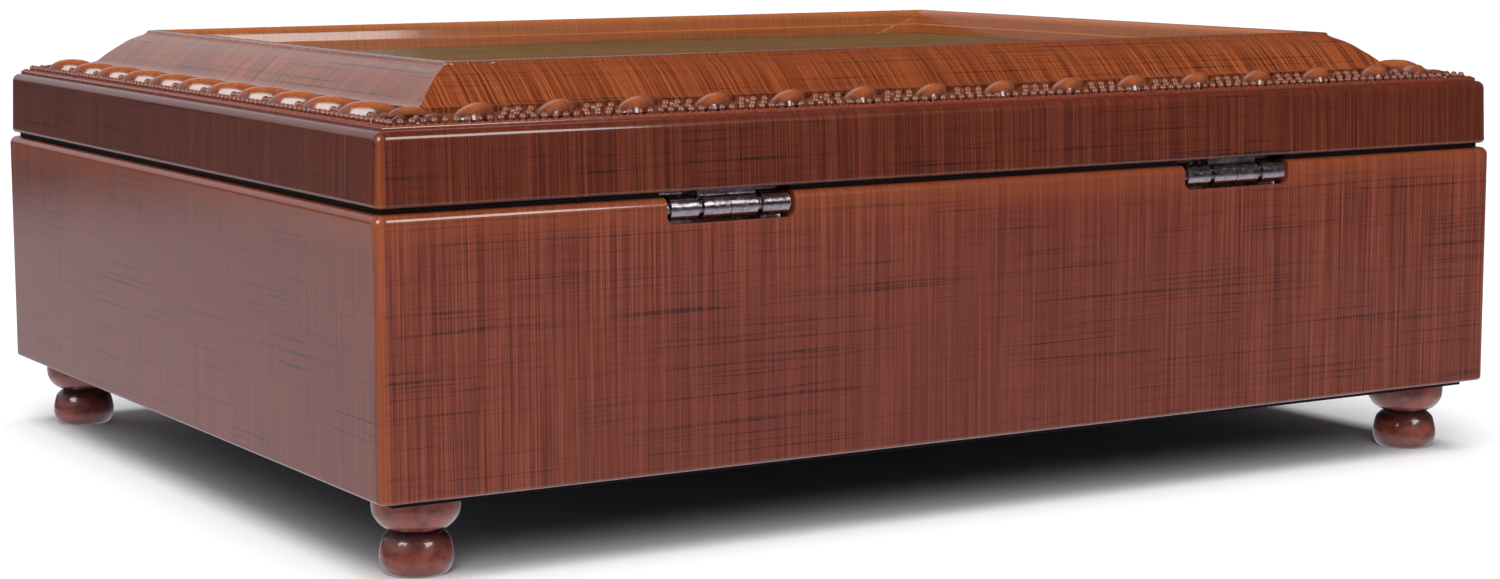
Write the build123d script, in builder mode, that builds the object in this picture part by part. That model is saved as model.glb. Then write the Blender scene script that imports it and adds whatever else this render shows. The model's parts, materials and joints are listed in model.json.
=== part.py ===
from build123d import *
import os
from math import cos, pi, radians, sin

os.makedirs("parts", exist_ok=True)

# A hinged wooden wind-up music box: a lined base on four turned feet, a lid
# with a raised picture-frame moulding, and a comb-and-cylinder movement.
# Millimetres, +Z up. The origin is the middle of the footprint at the feet's
# underside. X runs along the length, the hinges are on the +Y side.

# ---------------------------------------------------------------- dimensions
BOX_L, BOX_W = 209.5, 165.0        # outside of the base
FOOT_H = 12.0                      # floor to underside of the walls
WALL_H, WALL_T = 40.7, 9.0
EDGE_R = 1.8                       # upright corners
ARRIS_R = 1.3                      # rounded top and bottom edges
PANEL_T, PANEL_INSET = 4.0, 4.5    # bottom panel and the rebate that holds it
FELT_T, FELT_INSET = 1.0, 3.0      # felt under the base
RIM_T, RIM_INSET = 0.75, 1.6       # felt rim that the lid closes on
LID_INSET = 0.4
LID_SIDE_H = 10.65
LID_SKIRT_T = 8.0
OPENING_INSET = 19.5               # rebate that holds the picture glass
FOOT_INSET = 9.6

Z_WALL = FOOT_H                    # 12.00
Z_FLOOR = Z_WALL + PANEL_T         # 16.00
Z_RIM = Z_WALL + WALL_H            # 52.70
Z_LID = Z_RIM + RIM_T              # 53.45
Z_RECESS = Z_LID + 6.15            # 59.60 roof of the lid's recess
Z_LEDGE = Z_LID + LID_SIDE_H       # 64.10
Z_GLASS = Z_LEDGE + 3.65           # 67.75 top of the picture glass
Z_CREST = Z_LEDGE + 8.2            # 72.30

HINGE_X = 48.0                     # hinge centres at +X and -X
HINGE_Y = BOX_W / 2 - 1.8          # pin axis, barrel flush with the back
HINGE_Z = 50.9
BARREL_R, PIN_R, LEAF_T = 1.8, 0.8, 0.7
BARREL_L = 20.2

DIV_T = 4.0                        # compartment dividers
DIV_TOP = 50.7
LONG_DIV_Y = -4.0                  # middle of the long divider
SHORT_DIV_X = -24.0                # middle of the short divider

# movement
AX, AY = -41.5, -36.0              # winding arbor
ZC = 30.0                          # height of the cylinder's axis
CYL_R, PIN_TIP_R, CYL_L = 6.6, 7.5, 21.0
TEETH_COMB = 18
N_CROWN, N_PINION = 40, 14         # crown wheel drives the cylinder pinion
N_WHEEL, N_GOV_P1 = 44, 11         # cylinder wheel drives first governor pinion
N_GOV_W1, N_GOV_P2 = 36, 9         # first governor wheel drives the second
N_GOV_W2 = 25                      # second governor wheel turns the worm
M_DRIVE, M_CYL, M_GOV = 0.55, 0.4, 0.3
GOV1_Y, GOV1_Z = AY + 8.2, 37.33
GOV2_Y, GOV2_Z = AY + 12.7, 32.30
FAN_X, FAN_Y = AX - 43.5, AY + 17.6
ROD_X, ROD_Y = AX - 49.6, AY + 17.6


# ------------------------------------------------------------------ the base
with BuildPart() as base_walls:
    with BuildSketch(Plane.XY.offset(Z_WALL)):
        RectangleRounded(BOX_L, BOX_W, EDGE_R)
    extrude(amount=WALL_H)
    fillet(base_walls.faces().sort_by(Axis.Z)[-1].edges(), ARRIS_R)
    fillet(base_walls.faces().sort_by(Axis.Z)[0].edges(), 0.6)
    with BuildSketch(Plane.XY.offset(Z_FLOOR)):
        Rectangle(BOX_L - 2 * WALL_T, BOX_W - 2 * WALL_T)
    extrude(amount=WALL_H, mode=Mode.SUBTRACT)
    with BuildSketch(Plane.XY.offset(Z_WALL)):
        Rectangle(BOX_L - 2 * PANEL_INSET, BOX_W - 2 * PANEL_INSET)
    extrude(amount=PANEL_T, mode=Mode.SUBTRACT)
    # mortises for the hinges, open at the back and at the top
    for hx in (-HINGE_X, HINGE_X):
        with BuildSketch(Plane(origin=(hx, BOX_W / 2 + 0.5, 48.8), x_dir=(1, 0, 0), z_dir=(0, -1, 0))):
            with BuildLine():
                Polyline((-10.9, 5), (-10.9, 1.2))
                RadiusArc((-10.9, 1.2), (-9.7, 0), -1.2)
                Line((-9.7, 0), (9.7, 0))
                RadiusArc((9.7, 0), (10.9, 1.2), -1.2)
                Polyline((10.9, 1.2), (10.9, 5), (-10.9, 5))
            make_face()
        extrude(amount=8.4, mode=Mode.SUBTRACT)
    with Locations(*[(s * HINGE_X + d, 77.0, 46.5) for s in (-1, 1) for d in (-6, 6)]):
        Cylinder(0.8, 5.4, mode=Mode.SUBTRACT)
base_walls.part.label = "base_walls"
export_step(base_walls.part, "parts/base_walls.step")

# bottom panel, with the key's hole, screw holes and the feet's pilot holes
FOOT_AT = [(sx * (BOX_L / 2 - FOOT_INSET), sy * (BOX_W / 2 - FOOT_INSET)) for sx in (-1, 1) for sy in (-1, 1)]
PLATE_SCREWS = [(AX - 4.5, AY - 9.5), (AX - 26.0, AY - 28.0), (AX - 30.0, AY + 15.0)]
with BuildPart() as bottom_panel:
    with BuildSketch(Plane.XY.offset(Z_WALL)):
        Rectangle(BOX_L - 2 * PANEL_INSET, BOX_W - 2 * PANEL_INSET)
    extrude(amount=PANEL_T)
    with Locations((AX, AY, Z_WALL + PANEL_T / 2)):
        Cylinder(4.5, PANEL_T, mode=Mode.SUBTRACT)
    with Locations(*[(x, y, Z_WALL + PANEL_T / 2) for x, y in PLATE_SCREWS]):
        Cylinder(1.55, PANEL_T, mode=Mode.SUBTRACT)
    with Locations(*[(x, y, Z_WALL + 1.0) for x, y in PLATE_SCREWS]):
        Cylinder(3.3, 2.0, mode=Mode.SUBTRACT)
    with Locations(*[(x, y, Z_WALL + 1.6) for x, y in FOOT_AT]):
        Cylinder(1.25, 3.2, mode=Mode.SUBTRACT)
bottom_panel.part.label = "bottom_panel"
export_step(bottom_panel.part, "parts/bottom_panel.step")

with BuildPart() as felt_base:
    with BuildSketch(Plane.XY.offset(Z_WALL - FELT_T)):
        Rectangle(BOX_L - 2 * FELT_INSET, BOX_W - 2 * FELT_INSET)
        with Locations(*FOOT_AT):
            Circle(1.3, mode=Mode.SUBTRACT)
        with Locations(*PLATE_SCREWS):
            Circle(3.6, mode=Mode.SUBTRACT)
        with Locations((AX, AY)):
            Circle(5.0, mode=Mode.SUBTRACT)
    extrude(amount=FELT_T)
felt_base.part.label = "felt_base"
export_step(felt_base.part, "parts/felt_base.step")

# turned bun feet: a flattened ball under a bowl-shaped collar, screwed up
# through the felt
FOOT_TOP = Z_WALL - FELT_T
with BuildPart() as one_foot:
    with BuildSketch(Plane.XZ):
        with BuildLine():
            Line((0, 0), (4.3, 0))
            Spline((4.3, 0), (5.0, 0.75), (5.4, 2.7), (4.95, 4.8), (3.95, 6.0), tangents=[(1, 0.35), (-0.9, 0.75)])
            Line((3.95, 6.0), (3.55, 6.2))
            Line((3.55, 6.2), (3.8, 6.45))
            Spline((3.8, 6.45), (5.1, 7.05), (6.1, 8.3), (6.45, 9.8), tangents=[(1, 0.15), (0.05, 1)])
            Polyline((6.45, 9.8), (6.45, FOOT_TOP), (0, FOOT_TOP), (0, 0))
        make_face()
    revolve(axis=Axis.Z)
    with Locations((0, 0, 7.5)):
        Cylinder(1.25, 7.0, mode=Mode.SUBTRACT)
with BuildPart() as ball_feet:
    with Locations(*[(x, y, 0) for x, y in FOOT_AT]):
        add(one_foot.part)
ball_feet.part.label = "ball_feet"
export_step(ball_feet.part, "parts/ball_feet.step")

with BuildPart() as foot_screws:
    with Locations(*[(x, y, 9.6) for x, y in FOOT_AT]):
        Cylinder(1.2, 11.0)
foot_screws.part.label = "foot_screws"
export_step(foot_screws.part, "parts/foot_screws.step")

# black felt rim along the top of the walls, cut away at the hinges
with BuildPart() as rim_felt:
    with BuildSketch(Plane.XY.offset(Z_RIM)):
        RectangleRounded(BOX_L - 2 * RIM_INSET, BOX_W - 2 * RIM_INSET, 1.0)
        Rectangle(BOX_L - 2 * WALL_T + 0.8, BOX_W - 2 * WALL_T + 0.8, mode=Mode.SUBTRACT)
        with Locations((-HINGE_X, 78.0), (HINGE_X, 78.0)):
            Rectangle(22.4, 12.0, mode=Mode.SUBTRACT)
    extrude(amount=RIM_T)
rim_felt.part.label = "rim_felt"
export_step(rim_felt.part, "parts/rim_felt.step")

# ------------------------------------------------------------- compartments
IN_L, IN_W = BOX_L - 2 * WALL_T, BOX_W - 2 * WALL_T      # 191.5 x 147
X_IN, Y_IN = IN_L / 2, IN_W / 2
with BuildPart() as long_divider:
    with BuildSketch(Plane.XY.offset(Z_FLOOR)):
        with Locations((0, LONG_DIV_Y)):
            Rectangle(IN_L, DIV_T)
    extrude(amount=DIV_TOP - Z_FLOOR)
    fillet(long_divider.faces().sort_by(Axis.Z)[-1].edges().filter_by(Axis.X), 1.2)
long_divider.part.label = "long_divider"
export_step(long_divider.part, "parts/long_divider.step")

FRONT_D = LONG_DIV_Y - DIV_T / 2 + Y_IN                  # 67.5
with BuildPart() as short_divider:
    with BuildSketch(Plane.XY.offset(Z_FLOOR)):
        with Locations((SHORT_DIV_X, -Y_IN + FRONT_D / 2)):
            Rectangle(DIV_T, FRONT_D)
    extrude(amount=DIV_TOP - Z_FLOOR)
    fillet(short_divider.faces().sort_by(Axis.Z)[-1].edges().filter_by(Axis.Y), 1.2)
short_divider.part.label = "short_divider"
export_step(short_divider.part, "parts/short_divider.step")

# velvet-covered card trays that line the two jewellery compartments
LIN_T = 1.2
BACK_D = Y_IN - (LONG_DIV_Y + DIV_T / 2)                 # 75.5
BACK_CY = Y_IN - BACK_D / 2
with BuildPart() as back_tray_lining:
    with BuildSketch(Plane.XY.offset(Z_FLOOR)):
        with Locations((0, BACK_CY)):
            Rectangle(IN_L - 0.2, BACK_D - 0.2)
    extrude(amount=DIV_TOP - 1.5 - Z_FLOOR)
    with BuildSketch(Plane.XY.offset(Z_FLOOR + LIN_T)):
        with Locations((0, BACK_CY)):
            Rectangle(IN_L - 0.2 - 2 * LIN_T, BACK_D - 0.2 - 2 * LIN_T)
    extrude(amount=40, mode=Mode.SUBTRACT)
back_tray_lining.part.label = "back_tray_lining"
export_step(back_tray_lining.part, "parts/back_tray_lining.step")

RING_X0, RING_X1 = SHORT_DIV_X + DIV_T / 2, X_IN         # -22 .. 95.75
RING_L, RING_CX = RING_X1 - RING_X0, (RING_X0 + RING_X1) / 2
RING_CY = -Y_IN + FRONT_D / 2
with BuildPart() as ring_tray_lining:
    with BuildSketch(Plane.XY.offset(Z_FLOOR)):
        with Locations((RING_CX, RING_CY)):
            Rectangle(RING_L - 0.2, FRONT_D - 0.2)
    extrude(amount=DIV_TOP - 1.5 - Z_FLOOR)
    with BuildSketch(Plane.XY.offset(Z_FLOOR + LIN_T)):
        with Locations((RING_CX, RING_CY)):
            Rectangle(RING_L - 0.2 - 2 * LIN_T, FRONT_D - 0.2 - 2 * LIN_T)
    extrude(amount=40, mode=Mode.SUBTRACT)
ring_tray_lining.part.label = "ring_tray_lining"
export_step(ring_tray_lining.part, "parts/ring_tray_lining.step")

# padded floor of the long compartment
with BuildPart() as floor_pad:
    with BuildSketch(Plane.XY.offset(Z_FLOOR + LIN_T)):
        with Locations((0, BACK_CY)):
            RectangleRounded(IN_L - 4.6, BACK_D - 4.6, 2.0)
    extrude(amount=3.6)
    fillet(floor_pad.faces().sort_by(Axis.Z)[-1].edges(), 1.5)
floor_pad.part.label = "floor_pad"
export_step(floor_pad.part, "parts/floor_pad.step")

# six padded ring rolls, lying side by side along X
ROLL_N, ROLL_W, ROLL_PITCH = 6, 10.3, 10.75
with BuildPart() as ring_rolls:
    for k in range(ROLL_N):
        yk = RING_CY + (k - (ROLL_N - 1) / 2) * ROLL_PITCH
        with BuildSketch(Plane(origin=(RING_CX - RING_L / 2 + LIN_T + 0.8, yk, Z_FLOOR + LIN_T), x_dir=(0, 1, 0), z_dir=(1, 0, 0))):
            with BuildLine():
                Polyline((-ROLL_W / 2, 11.0), (-ROLL_W / 2, 0), (ROLL_W / 2, 0), (ROLL_W / 2, 11.0))
                RadiusArc((ROLL_W / 2, 11.0), (-ROLL_W / 2, 11.0), -ROLL_W / 2 - 0.01)
            make_face()
        extrude(amount=RING_L - 2 * LIN_T - 1.6)
ring_rolls.part.label = "ring_rolls"
export_step(ring_rolls.part, "parts/ring_rolls.step")

# clear cover over the movement, on two wooden ledges
MOV_X0, MOV_X1 = -X_IN, SHORT_DIV_X - DIV_T / 2          # -95.75 .. -26
MOV_L, MOV_CX = MOV_X1 - MOV_X0, (MOV_X0 + MOV_X1) / 2
WIN_T = 2.0
Z_WIN = DIV_TOP - 0.2 - WIN_T                            # 48.5
with BuildPart() as window_ledges:
    with BuildSketch(Plane.XY.offset(Z_WIN - 3.0)):
        with Locations((MOV_CX, -Y_IN + 1.75), (MOV_CX, -Y_IN + FRONT_D - 1.75)):
            Rectangle(MOV_L, 3.5)
    extrude(amount=3.0)
window_ledges.part.label = "window_ledges"
export_step(window_ledges.part, "parts/window_ledges.step")

with BuildPart() as movement_window:
    with BuildSketch(Plane.XY.offset(Z_WIN)):
        with Locations((MOV_CX, RING_CY)):
            RectangleRounded(MOV_L - 0.6, FRONT_D - 0.6, 0.8)
        with Locations((MOV_X1 - 0.3, RING_CY)):
            Circle(7.0, mode=Mode.SUBTRACT)              # thumb notch
        with Locations((ROD_X, ROD_Y)):
            Circle(1.7, mode=Mode.SUBTRACT)              # the stop rod passes
    extrude(amount=WIN_T)
movement_window.part.label = "movement_window"
export_step(movement_window.part, "parts/movement_window.step")

# ------------------------------------------------------------------- hinges
# Each hinge: end knuckles on the lower leaf, middle knuckles on the upper one,
# with a shallow ring groove between them.
with BuildPart() as hinge_lower_leaves:
    for hx in (-HINGE_X, HINGE_X):
        with Locations((hx, (HINGE_Y + 75.0) / 2, HINGE_Z - 1.75)):
            Box(19.0, HINGE_Y - 75.0, LEAF_T)
        with Locations((hx, HINGE_Y, HINGE_Z - 0.9)):
            Box(BARREL_L, 3.6, 2.6, mode=Mode.SUBTRACT)
        for s in (-1, 1):
            with Locations(Location((hx + s * 7.8, HINGE_Y, HINGE_Z), (0, 90, 0))):
                Cylinder(BARREL_R, 4.6)
            with Locations(Location((hx + s * 5.3, HINGE_Y, HINGE_Z), (0, 90, 0))):
                Cylinder(1.35, 0.44)
            with Locations((hx + s * 7.7, HINGE_Y - 1.1, HINGE_Z - 1.65)):
                Box(3.4, 2.2, 0.9)
            with Locations(Location((hx + s * 7.8, HINGE_Y, HINGE_Z), (0, 90, 0))):
                Cylinder(0.85, 5.7, mode=Mode.SUBTRACT)
    with Locations(*[(s * HINGE_X + d, 77.0, HINGE_Z - 1.75) for s in (-1, 1) for d in (-6, 6)]):
        Cylinder(0.8, LEAF_T, mode=Mode.SUBTRACT)
hinge_lower_leaves.part.label = "hinge_lower_leaves"
export_step(hinge_lower_leaves.part, "parts/hinge_lower_leaves.step")

with BuildPart() as hinge_upper_leaves:
    for hx in (-HINGE_X, HINGE_X):
        with Locations((hx, (78.7 + 75.0) / 2, Z_LID - LEAF_T / 2)):
            Box(BARREL_L, 78.7 - 75.0, LEAF_T)
        with Locations((hx, HINGE_Y - 1.2, HINGE_Z + 1.85)):
            Box(9.9, 2.8, 1.4)
        with Locations(Location((hx, HINGE_Y, HINGE_Z), (0, 90, 0))):
            Cylinder(BARREL_R, 9.2)
        with Locations(Location((hx, HINGE_Y, HINGE_Z), (0, 90, 0))):
            Cylinder(1.35, 10.0)
        with Locations(Location((hx, HINGE_Y, HINGE_Z), (0, 90, 0))):
            Cylinder(0.85, 10.4, mode=Mode.SUBTRACT)
        with Locations(Location((hx, HINGE_Y, HINGE_Z), (0, 90, 0))):
            Cylinder(BARREL_R + 0.1, 0.16, mode=Mode.SUBTRACT)
        with Locations(Location((hx, HINGE_Y, HINGE_Z), (0, 90, 0))):
            Cylinder(1.6, 0.3)
        with Locations(Location((hx, HINGE_Y, HINGE_Z), (0, 90, 0))):
            Cylinder(0.85, 10.4, mode=Mode.SUBTRACT)
    with Locations(*[(s * HINGE_X + d, 76.9, Z_LID - LEAF_T / 2) for s in (-1, 1) for d in (-6, 6)]):
        Cylinder(0.8, LEAF_T, mode=Mode.SUBTRACT)
hinge_upper_leaves.part.label = "hinge_upper_leaves"
export_step(hinge_upper_leaves.part, "parts/hinge_upper_leaves.step")

with BuildPart() as hinge_pins:
    for hx in (-HINGE_X, HINGE_X):
        with Locations(Location((hx, HINGE_Y, HINGE_Z), (0, 90, 0))):
            Cylinder(PIN_R, BARREL_L + 0.2)
        for s in (-1, 1):
            with Locations(Location((hx + s * (BARREL_L / 2 + 0.25), HINGE_Y, HINGE_Z), (0, 90, 0))):
                Cylinder(1.3, 0.4)
hinge_pins.part.label = "hinge_pins"
export_step(hinge_pins.part, "parts/hinge_pins.step")

with BuildPart() as lower_hinge_screws:
    with Locations(*[(s * HINGE_X + d, 77.0, 49.5 + 0.35) for s in (-1, 1) for d in (-6, 6)]):
        Cylinder(1.5, 0.7)
    with Locations(*[(s * HINGE_X + d, 77.0, 47.0) for s in (-1, 1) for d in (-6, 6)]):
        Cylinder(0.75, 5.2)
lower_hinge_screws.part.label = "lower_hinge_screws"
export_step(lower_hinge_screws.part, "parts/lower_hinge_screws.step")

with BuildPart() as upper_hinge_screws:
    with Locations(*[(s * HINGE_X + d, 76.9, 52.75 - 0.35) for s in (-1, 1) for d in (-6, 6)]):
        Cylinder(1.5, 0.7)
    with Locations(*[(s * HINGE_X + d, 76.9, 55.0) for s in (-1, 1) for d in (-6, 6)]):
        Cylinder(0.75, 5.2)
upper_hinge_screws.part.label = "upper_hinge_screws"
export_step(upper_hinge_screws.part, "parts/upper_hinge_screws.step")

# ---------------------------------------------------------------------- lid
LID_L, LID_W = BOX_L - 2 * LID_INSET, BOX_W - 2 * LID_INSET
REC_L, REC_W = LID_L - 2 * LID_SKIRT_T, LID_W - 2 * LID_SKIRT_T
OPEN_L, OPEN_W = BOX_L - 2 * OPENING_INSET, BOX_W - 2 * OPENING_INSET
with BuildPart() as lid_frame:
    with BuildSketch(Plane.XY.offset(Z_LID)):
        RectangleRounded(LID_L, LID_W, EDGE_R)
    extrude(amount=LID_SIDE_H, taper=1.9)
    fillet(lid_frame.faces().sort_by(Axis.Z)[-1].edges(), ARRIS_R)
    fillet(lid_frame.faces().sort_by(Axis.Z)[0].edges(), 0.6)
    with BuildSketch(Plane.XY.offset(Z_LID)):
        Rectangle(REC_L, REC_W)
    extrude(amount=Z_RECESS - Z_LID, mode=Mode.SUBTRACT)
    with BuildSketch(Plane.XY.offset(Z_RECESS)):
        Rectangle(OPEN_L, OPEN_W)
    extrude(amount=10, mode=Mode.SUBTRACT)
    with Locations(*[(s * HINGE_X + d, 76.9, Z_LID + 2.2) for s in (-1, 1) for d in (-6, 6)]):
        Cylinder(0.8, 4.4, mode=Mode.SUBTRACT)
lid_frame.part.label = "lid_frame"
export_step(lid_frame.part, "parts/lid_frame.step")

# raised frame moulding: mitred rails of one ogee section.
# Section points are (inset from the box's outer face, height).
OGEE = [(12.0, 66.3), (13.3, 66.9), (14.3, 67.9), (16.0, 69.3), (18.0, 70.75), (20.0, 71.8), (21.8, 72.3)]
RABBET = [(23.2, 71.1), (23.5, 69.6), (24.05, 69.4), (24.3, Z_GLASS), (OPENING_INSET, Z_GLASS), (OPENING_INSET, Z_LEDGE), (12.0, Z_LEDGE), (12.0, 66.3)]
with BuildPart() as long_rail:
    # the rail along X on the -Y side; the section's x points inwards, its y up
    with BuildSketch(Plane(origin=(-BOX_L / 2, -BOX_W / 2, 0), x_dir=(0, 1, 0), z_dir=(1, 0, 0))):
        with BuildLine():
            Spline(*OGEE, tangents=[(1, 0.12), (1, 0)])
            Spline((21.8, 72.3), (22.85, 71.9), (23.2, 71.1), tangents=[(1, 0), (0.15, -1)])
            Polyline(*RABBET)
        make_face()
    extrude(amount=BOX_L)
    split(bisect_by=Plane(origin=(-BOX_L / 2, -BOX_W / 2, 0), z_dir=(1, -1, 0)), keep=Keep.TOP)
    split(bisect_by=Plane(origin=(BOX_L / 2, -BOX_W / 2, 0), z_dir=(-1, -1, 0)), keep=Keep.TOP)
with BuildPart() as short_rail:
    # the rail along Y on the -X side
    with BuildSketch(Plane(origin=(-BOX_L / 2, BOX_W / 2, 0), x_dir=(1, 0, 0), z_dir=(0, -1, 0))):
        with BuildLine():
            Spline(*OGEE, tangents=[(1, 0.12), (1, 0)])
            Spline((21.8, 72.3), (22.85, 71.9), (23.2, 71.1), tangents=[(1, 0), (0.15, -1)])
            Polyline(*RABBET)
        make_face()
    extrude(amount=BOX_W)
    split(bisect_by=Plane(origin=(-BOX_L / 2, BOX_W / 2, 0), z_dir=(-1, -1, 0)), keep=Keep.TOP)
    split(bisect_by=Plane(origin=(-BOX_L / 2, -BOX_W / 2, 0), z_dir=(-1, 1, 0)), keep=Keep.TOP)
with BuildPart() as lid_moulding:
    add(long_rail.part)
    mirror(long_rail.part, about=Plane.XZ)
    add(short_rail.part)
    mirror(short_rail.part, about=Plane.YZ)
lid_moulding.part.label = "lid_moulding"
export_step(lid_moulding.part, "parts/lid_moulding.step")

# beaded trim strip on the ledge around the moulding, with a row of lobes
LOBE_PITCH = 13.15
with BuildPart() as beaded_trim:
    with BuildSketch(Plane.XY.offset(Z_LEDGE)):
        RectangleRounded(BOX_L - 4.4, BOX_W - 4.4, 0.9)
        Rectangle(BOX_L - 23.8, BOX_W - 23.8, mode=Mode.SUBTRACT)
    extrude(amount=0.8)
    with BuildSketch(Plane.XY.offset(Z_LEDGE + 0.8)):
        Rectangle(BOX_L - 8.0, BOX_W - 8.0)
        Rectangle(BOX_L - 23.8, BOX_W - 23.8, mode=Mode.SUBTRACT)
    extrude(amount=1.3)
beaded_trim.part.label = "beaded_trim"
export_step(beaded_trim.part, "parts/beaded_trim.step")

PACK_L, PACK_W = OPEN_L - 0.6, OPEN_W - 0.6
with BuildPart() as picture_glass:
    with BuildSketch(Plane.XY.offset(Z_GLASS - 2.0)):
        Rectangle(PACK_L, PACK_W)
    extrude(amount=2.0)
picture_glass.part.label = "picture_glass"
export_step(picture_glass.part, "parts/picture_glass.step")

with BuildPart() as picture_card:
    with BuildSketch(Plane.XY.offset(Z_GLASS - 2.5)):
        Rectangle(PACK_L, PACK_W)
    extrude(amount=0.5)
picture_card.part.label = "picture_card"
export_step(picture_card.part, "parts/picture_card.step")

with BuildPart() as backing_board:
    with BuildSketch(Plane.XY.offset(Z_GLASS - 5.0)):
        Rectangle(PACK_L, PACK_W)
    extrude(amount=2.5)
backing_board.part.label = "backing_board"
export_step(backing_board.part, "parts/backing_board.step")

# flat metal points that hold the glass, card and board in the rebate
with BuildPart() as glazing_points:
    with BuildSketch(Plane.XY.offset(Z_GLASS - 5.5)):
        with Locations(*[(sx * (OPEN_L / 2 - 3.0), y) for sx in (-1, 1) for y in (-30, 30)]):
            Rectangle(6.0, 5.0)
        with Locations(*[(x, sy * (OPEN_W / 2 - 3.0)) for sy in (-1, 1) for x in (-45, 45)]):
            Rectangle(5.0, 6.0)
    extrude(amount=0.5)
glazing_points.part.label = "glazing_points"
export_step(glazing_points.part, "parts/glazing_points.step")

LIDLIN_T = 2.5
Z_LIN = Z_RECESS - LIDLIN_T                              # 57.10
with BuildPart() as lid_lining:
    with BuildSketch(Plane.XY.offset(Z_LIN)):
        Rectangle(REC_L - 0.4, REC_W - 0.4)
    extrude(amount=LIDLIN_T)
    fillet(lid_lining.faces().sort_by(Axis.Z)[0].edges(), 0.8)
lid_lining.part.label = "lid_lining"
export_step(lid_lining.part, "parts/lid_lining.step")

MIRROR_L, MIRROR_W, MIRROR_T = 110.0, 80.0, 2.0
with BuildPart() as lid_mirror:
    with BuildSketch(Plane.XY.offset(Z_LIN - MIRROR_T)):
        RectangleRounded(MIRROR_L, MIRROR_W, 2.0)
    extrude(amount=MIRROR_T)
    chamfer(lid_mirror.faces().sort_by(Axis.Z)[0].edges(), 0.7)
lid_mirror.part.label = "lid_mirror"
export_step(lid_mirror.part, "parts/lid_mirror.step")

with BuildPart() as mirror_clips:
    for sx in (-1, 1):
        with Locations((sx * (MIRROR_L / 2 + 1.6), 0, Z_LIN - 0.3)):
            Box(3.0, 9.0, 0.6)
        with Locations((sx * (MIRROR_L / 2 + 0.4), 0, Z_LIN - 1.35)):
            Box(0.6, 9.0, 2.7)
        with Locations((sx * (MIRROR_L / 2 - 1.0), 0, Z_LIN - 2.4)):
            Box(3.4, 9.0, 0.6)
    for sy in (-1, 1):
        with Locations((0, sy * (MIRROR_W / 2 + 1.6), Z_LIN - 0.3)):
            Box(9.0, 3.0, 0.6)
        with Locations((0, sy * (MIRROR_W / 2 + 0.4), Z_LIN - 1.35)):
            Box(9.0, 0.6, 2.7)
        with Locations((0, sy * (MIRROR_W / 2 - 1.0), Z_LIN - 2.4)):
            Box(9.0, 3.4, 0.6)
mirror_clips.part.label = "mirror_clips"
export_step(mirror_clips.part, "parts/mirror_clips.step")

# ----------------------------------------------------------------- movement
PLATE_Z = Z_FLOOR + 2.0                                  # 18.0, top of the bedplate


def mx(u):
    """Row x of a place u along the cylinder from the winding arbor."""
    return AX - u


with BuildPart() as bedplate:
    with BuildSketch(Plane.XY.offset(Z_FLOOR)):
        with Locations((mx(16.75), AY + 4.5)):
            RectangleRounded(60.5, 33.0, 3.0)
        with Locations((mx(25.5), AY - 22.0)):
            RectangleRounded(26.0, 26.0, 2.5)
        with Locations((mx(48.6), ROD_Y)):
            RectangleRounded(8.0, 6.4, 1.0)
        with Locations((AX, AY)):
            Circle(1.56, mode=Mode.SUBTRACT)
        with Locations(*PLATE_SCREWS):
            Circle(1.5, mode=Mode.SUBTRACT)
    extrude(amount=2.0)
    # raised seat for the comb
    with Locations((mx(25.4), AY - 28.0, (PLATE_Z + 29.5) / 2)):
        Box(24.0, 12.0, 29.5 - PLATE_Z)
    with Locations(*[(mx(25.4 + d), AY - 28.0, 27.0) for d in (-7, 7)]):
        Cylinder(1.05, 5.0, mode=Mode.SUBTRACT)
bedplate.part.label = "bedplate"
export_step(bedplate.part, "parts/bedplate.step")

with BuildPart() as bedplate_screws:
    with Locations(*[(x, y, Z_WALL + 0.9) for x, y in PLATE_SCREWS]):
        Cylinder(3.0, 1.8)
    with Locations(*[(x, y, Z_WALL + 3.8) for x, y in PLATE_SCREWS]):
        Cylinder(1.45, 4.0)
    with Locations(*[(x, y, Z_WALL + 0.3) for x, y in PLATE_SCREWS]):
        Box(4.6, 0.8, 0.6, mode=Mode.SUBTRACT)
bedplate_screws.part.label = "bedplate_screws"
export_step(bedplate_screws.part, "parts/bedplate_screws.step")

with BuildPart() as spring_housing:
    with BuildSketch(Plane.XY.offset(PLATE_Z)):
        with Locations((AX, AY)):
            Circle(12.2)
    extrude(amount=5.2)
    with BuildSketch(Plane.XY.offset(PLATE_Z + 0.6)):
        with Locations((AX, AY)):
            Circle(11.4)
    extrude(amount=5.0, mode=Mode.SUBTRACT)
    with Locations((AX, AY, PLATE_Z + 0.3)):
        Cylinder(1.9, 0.6, mode=Mode.SUBTRACT)
spring_housing.part.label = "spring_housing"
export_step(spring_housing.part, "parts/spring_housing.step")

# mainspring: a flat strip wound from near the arbor out to the housing's wall
SPRING_TURNS, STRIP_T = 6, 0.35
with BuildPart() as mainspring:
    with BuildSketch(Plane.XY.offset(PLATE_Z + 0.9)):
        with BuildLine():
            pts = []
            n = SPRING_TURNS * 24
            for i in range(n + 1):
                a = 2 * pi * SPRING_TURNS * i / n
                r = 2.6 + (11.0 - 2.6) * i / n
                pts.append((AX + r * cos(a), AY + r * sin(a)))
            for i in range(n, -1, -1):
                a = 2 * pi * SPRING_TURNS * i / n
                r = 2.6 + (11.0 - 2.6) * i / n - STRIP_T
                pts.append((AX + r * cos(a), AY + r * sin(a)))
            Polyline(*pts, close=True)
        make_face()
    extrude(amount=4.0)
mainspring.part.label = "mainspring"
export_step(mainspring.part, "parts/mainspring.step")

# winding arbor and its key, under the base
with BuildPart() as winding_arbor:
    with Locations((AX, AY, (4.0 + 26.6) / 2)):
        Cylinder(1.5, 26.6 - 4.0)
winding_arbor.part.label = "winding_arbor"
export_step(winding_arbor.part, "parts/winding_arbor.step")

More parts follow.
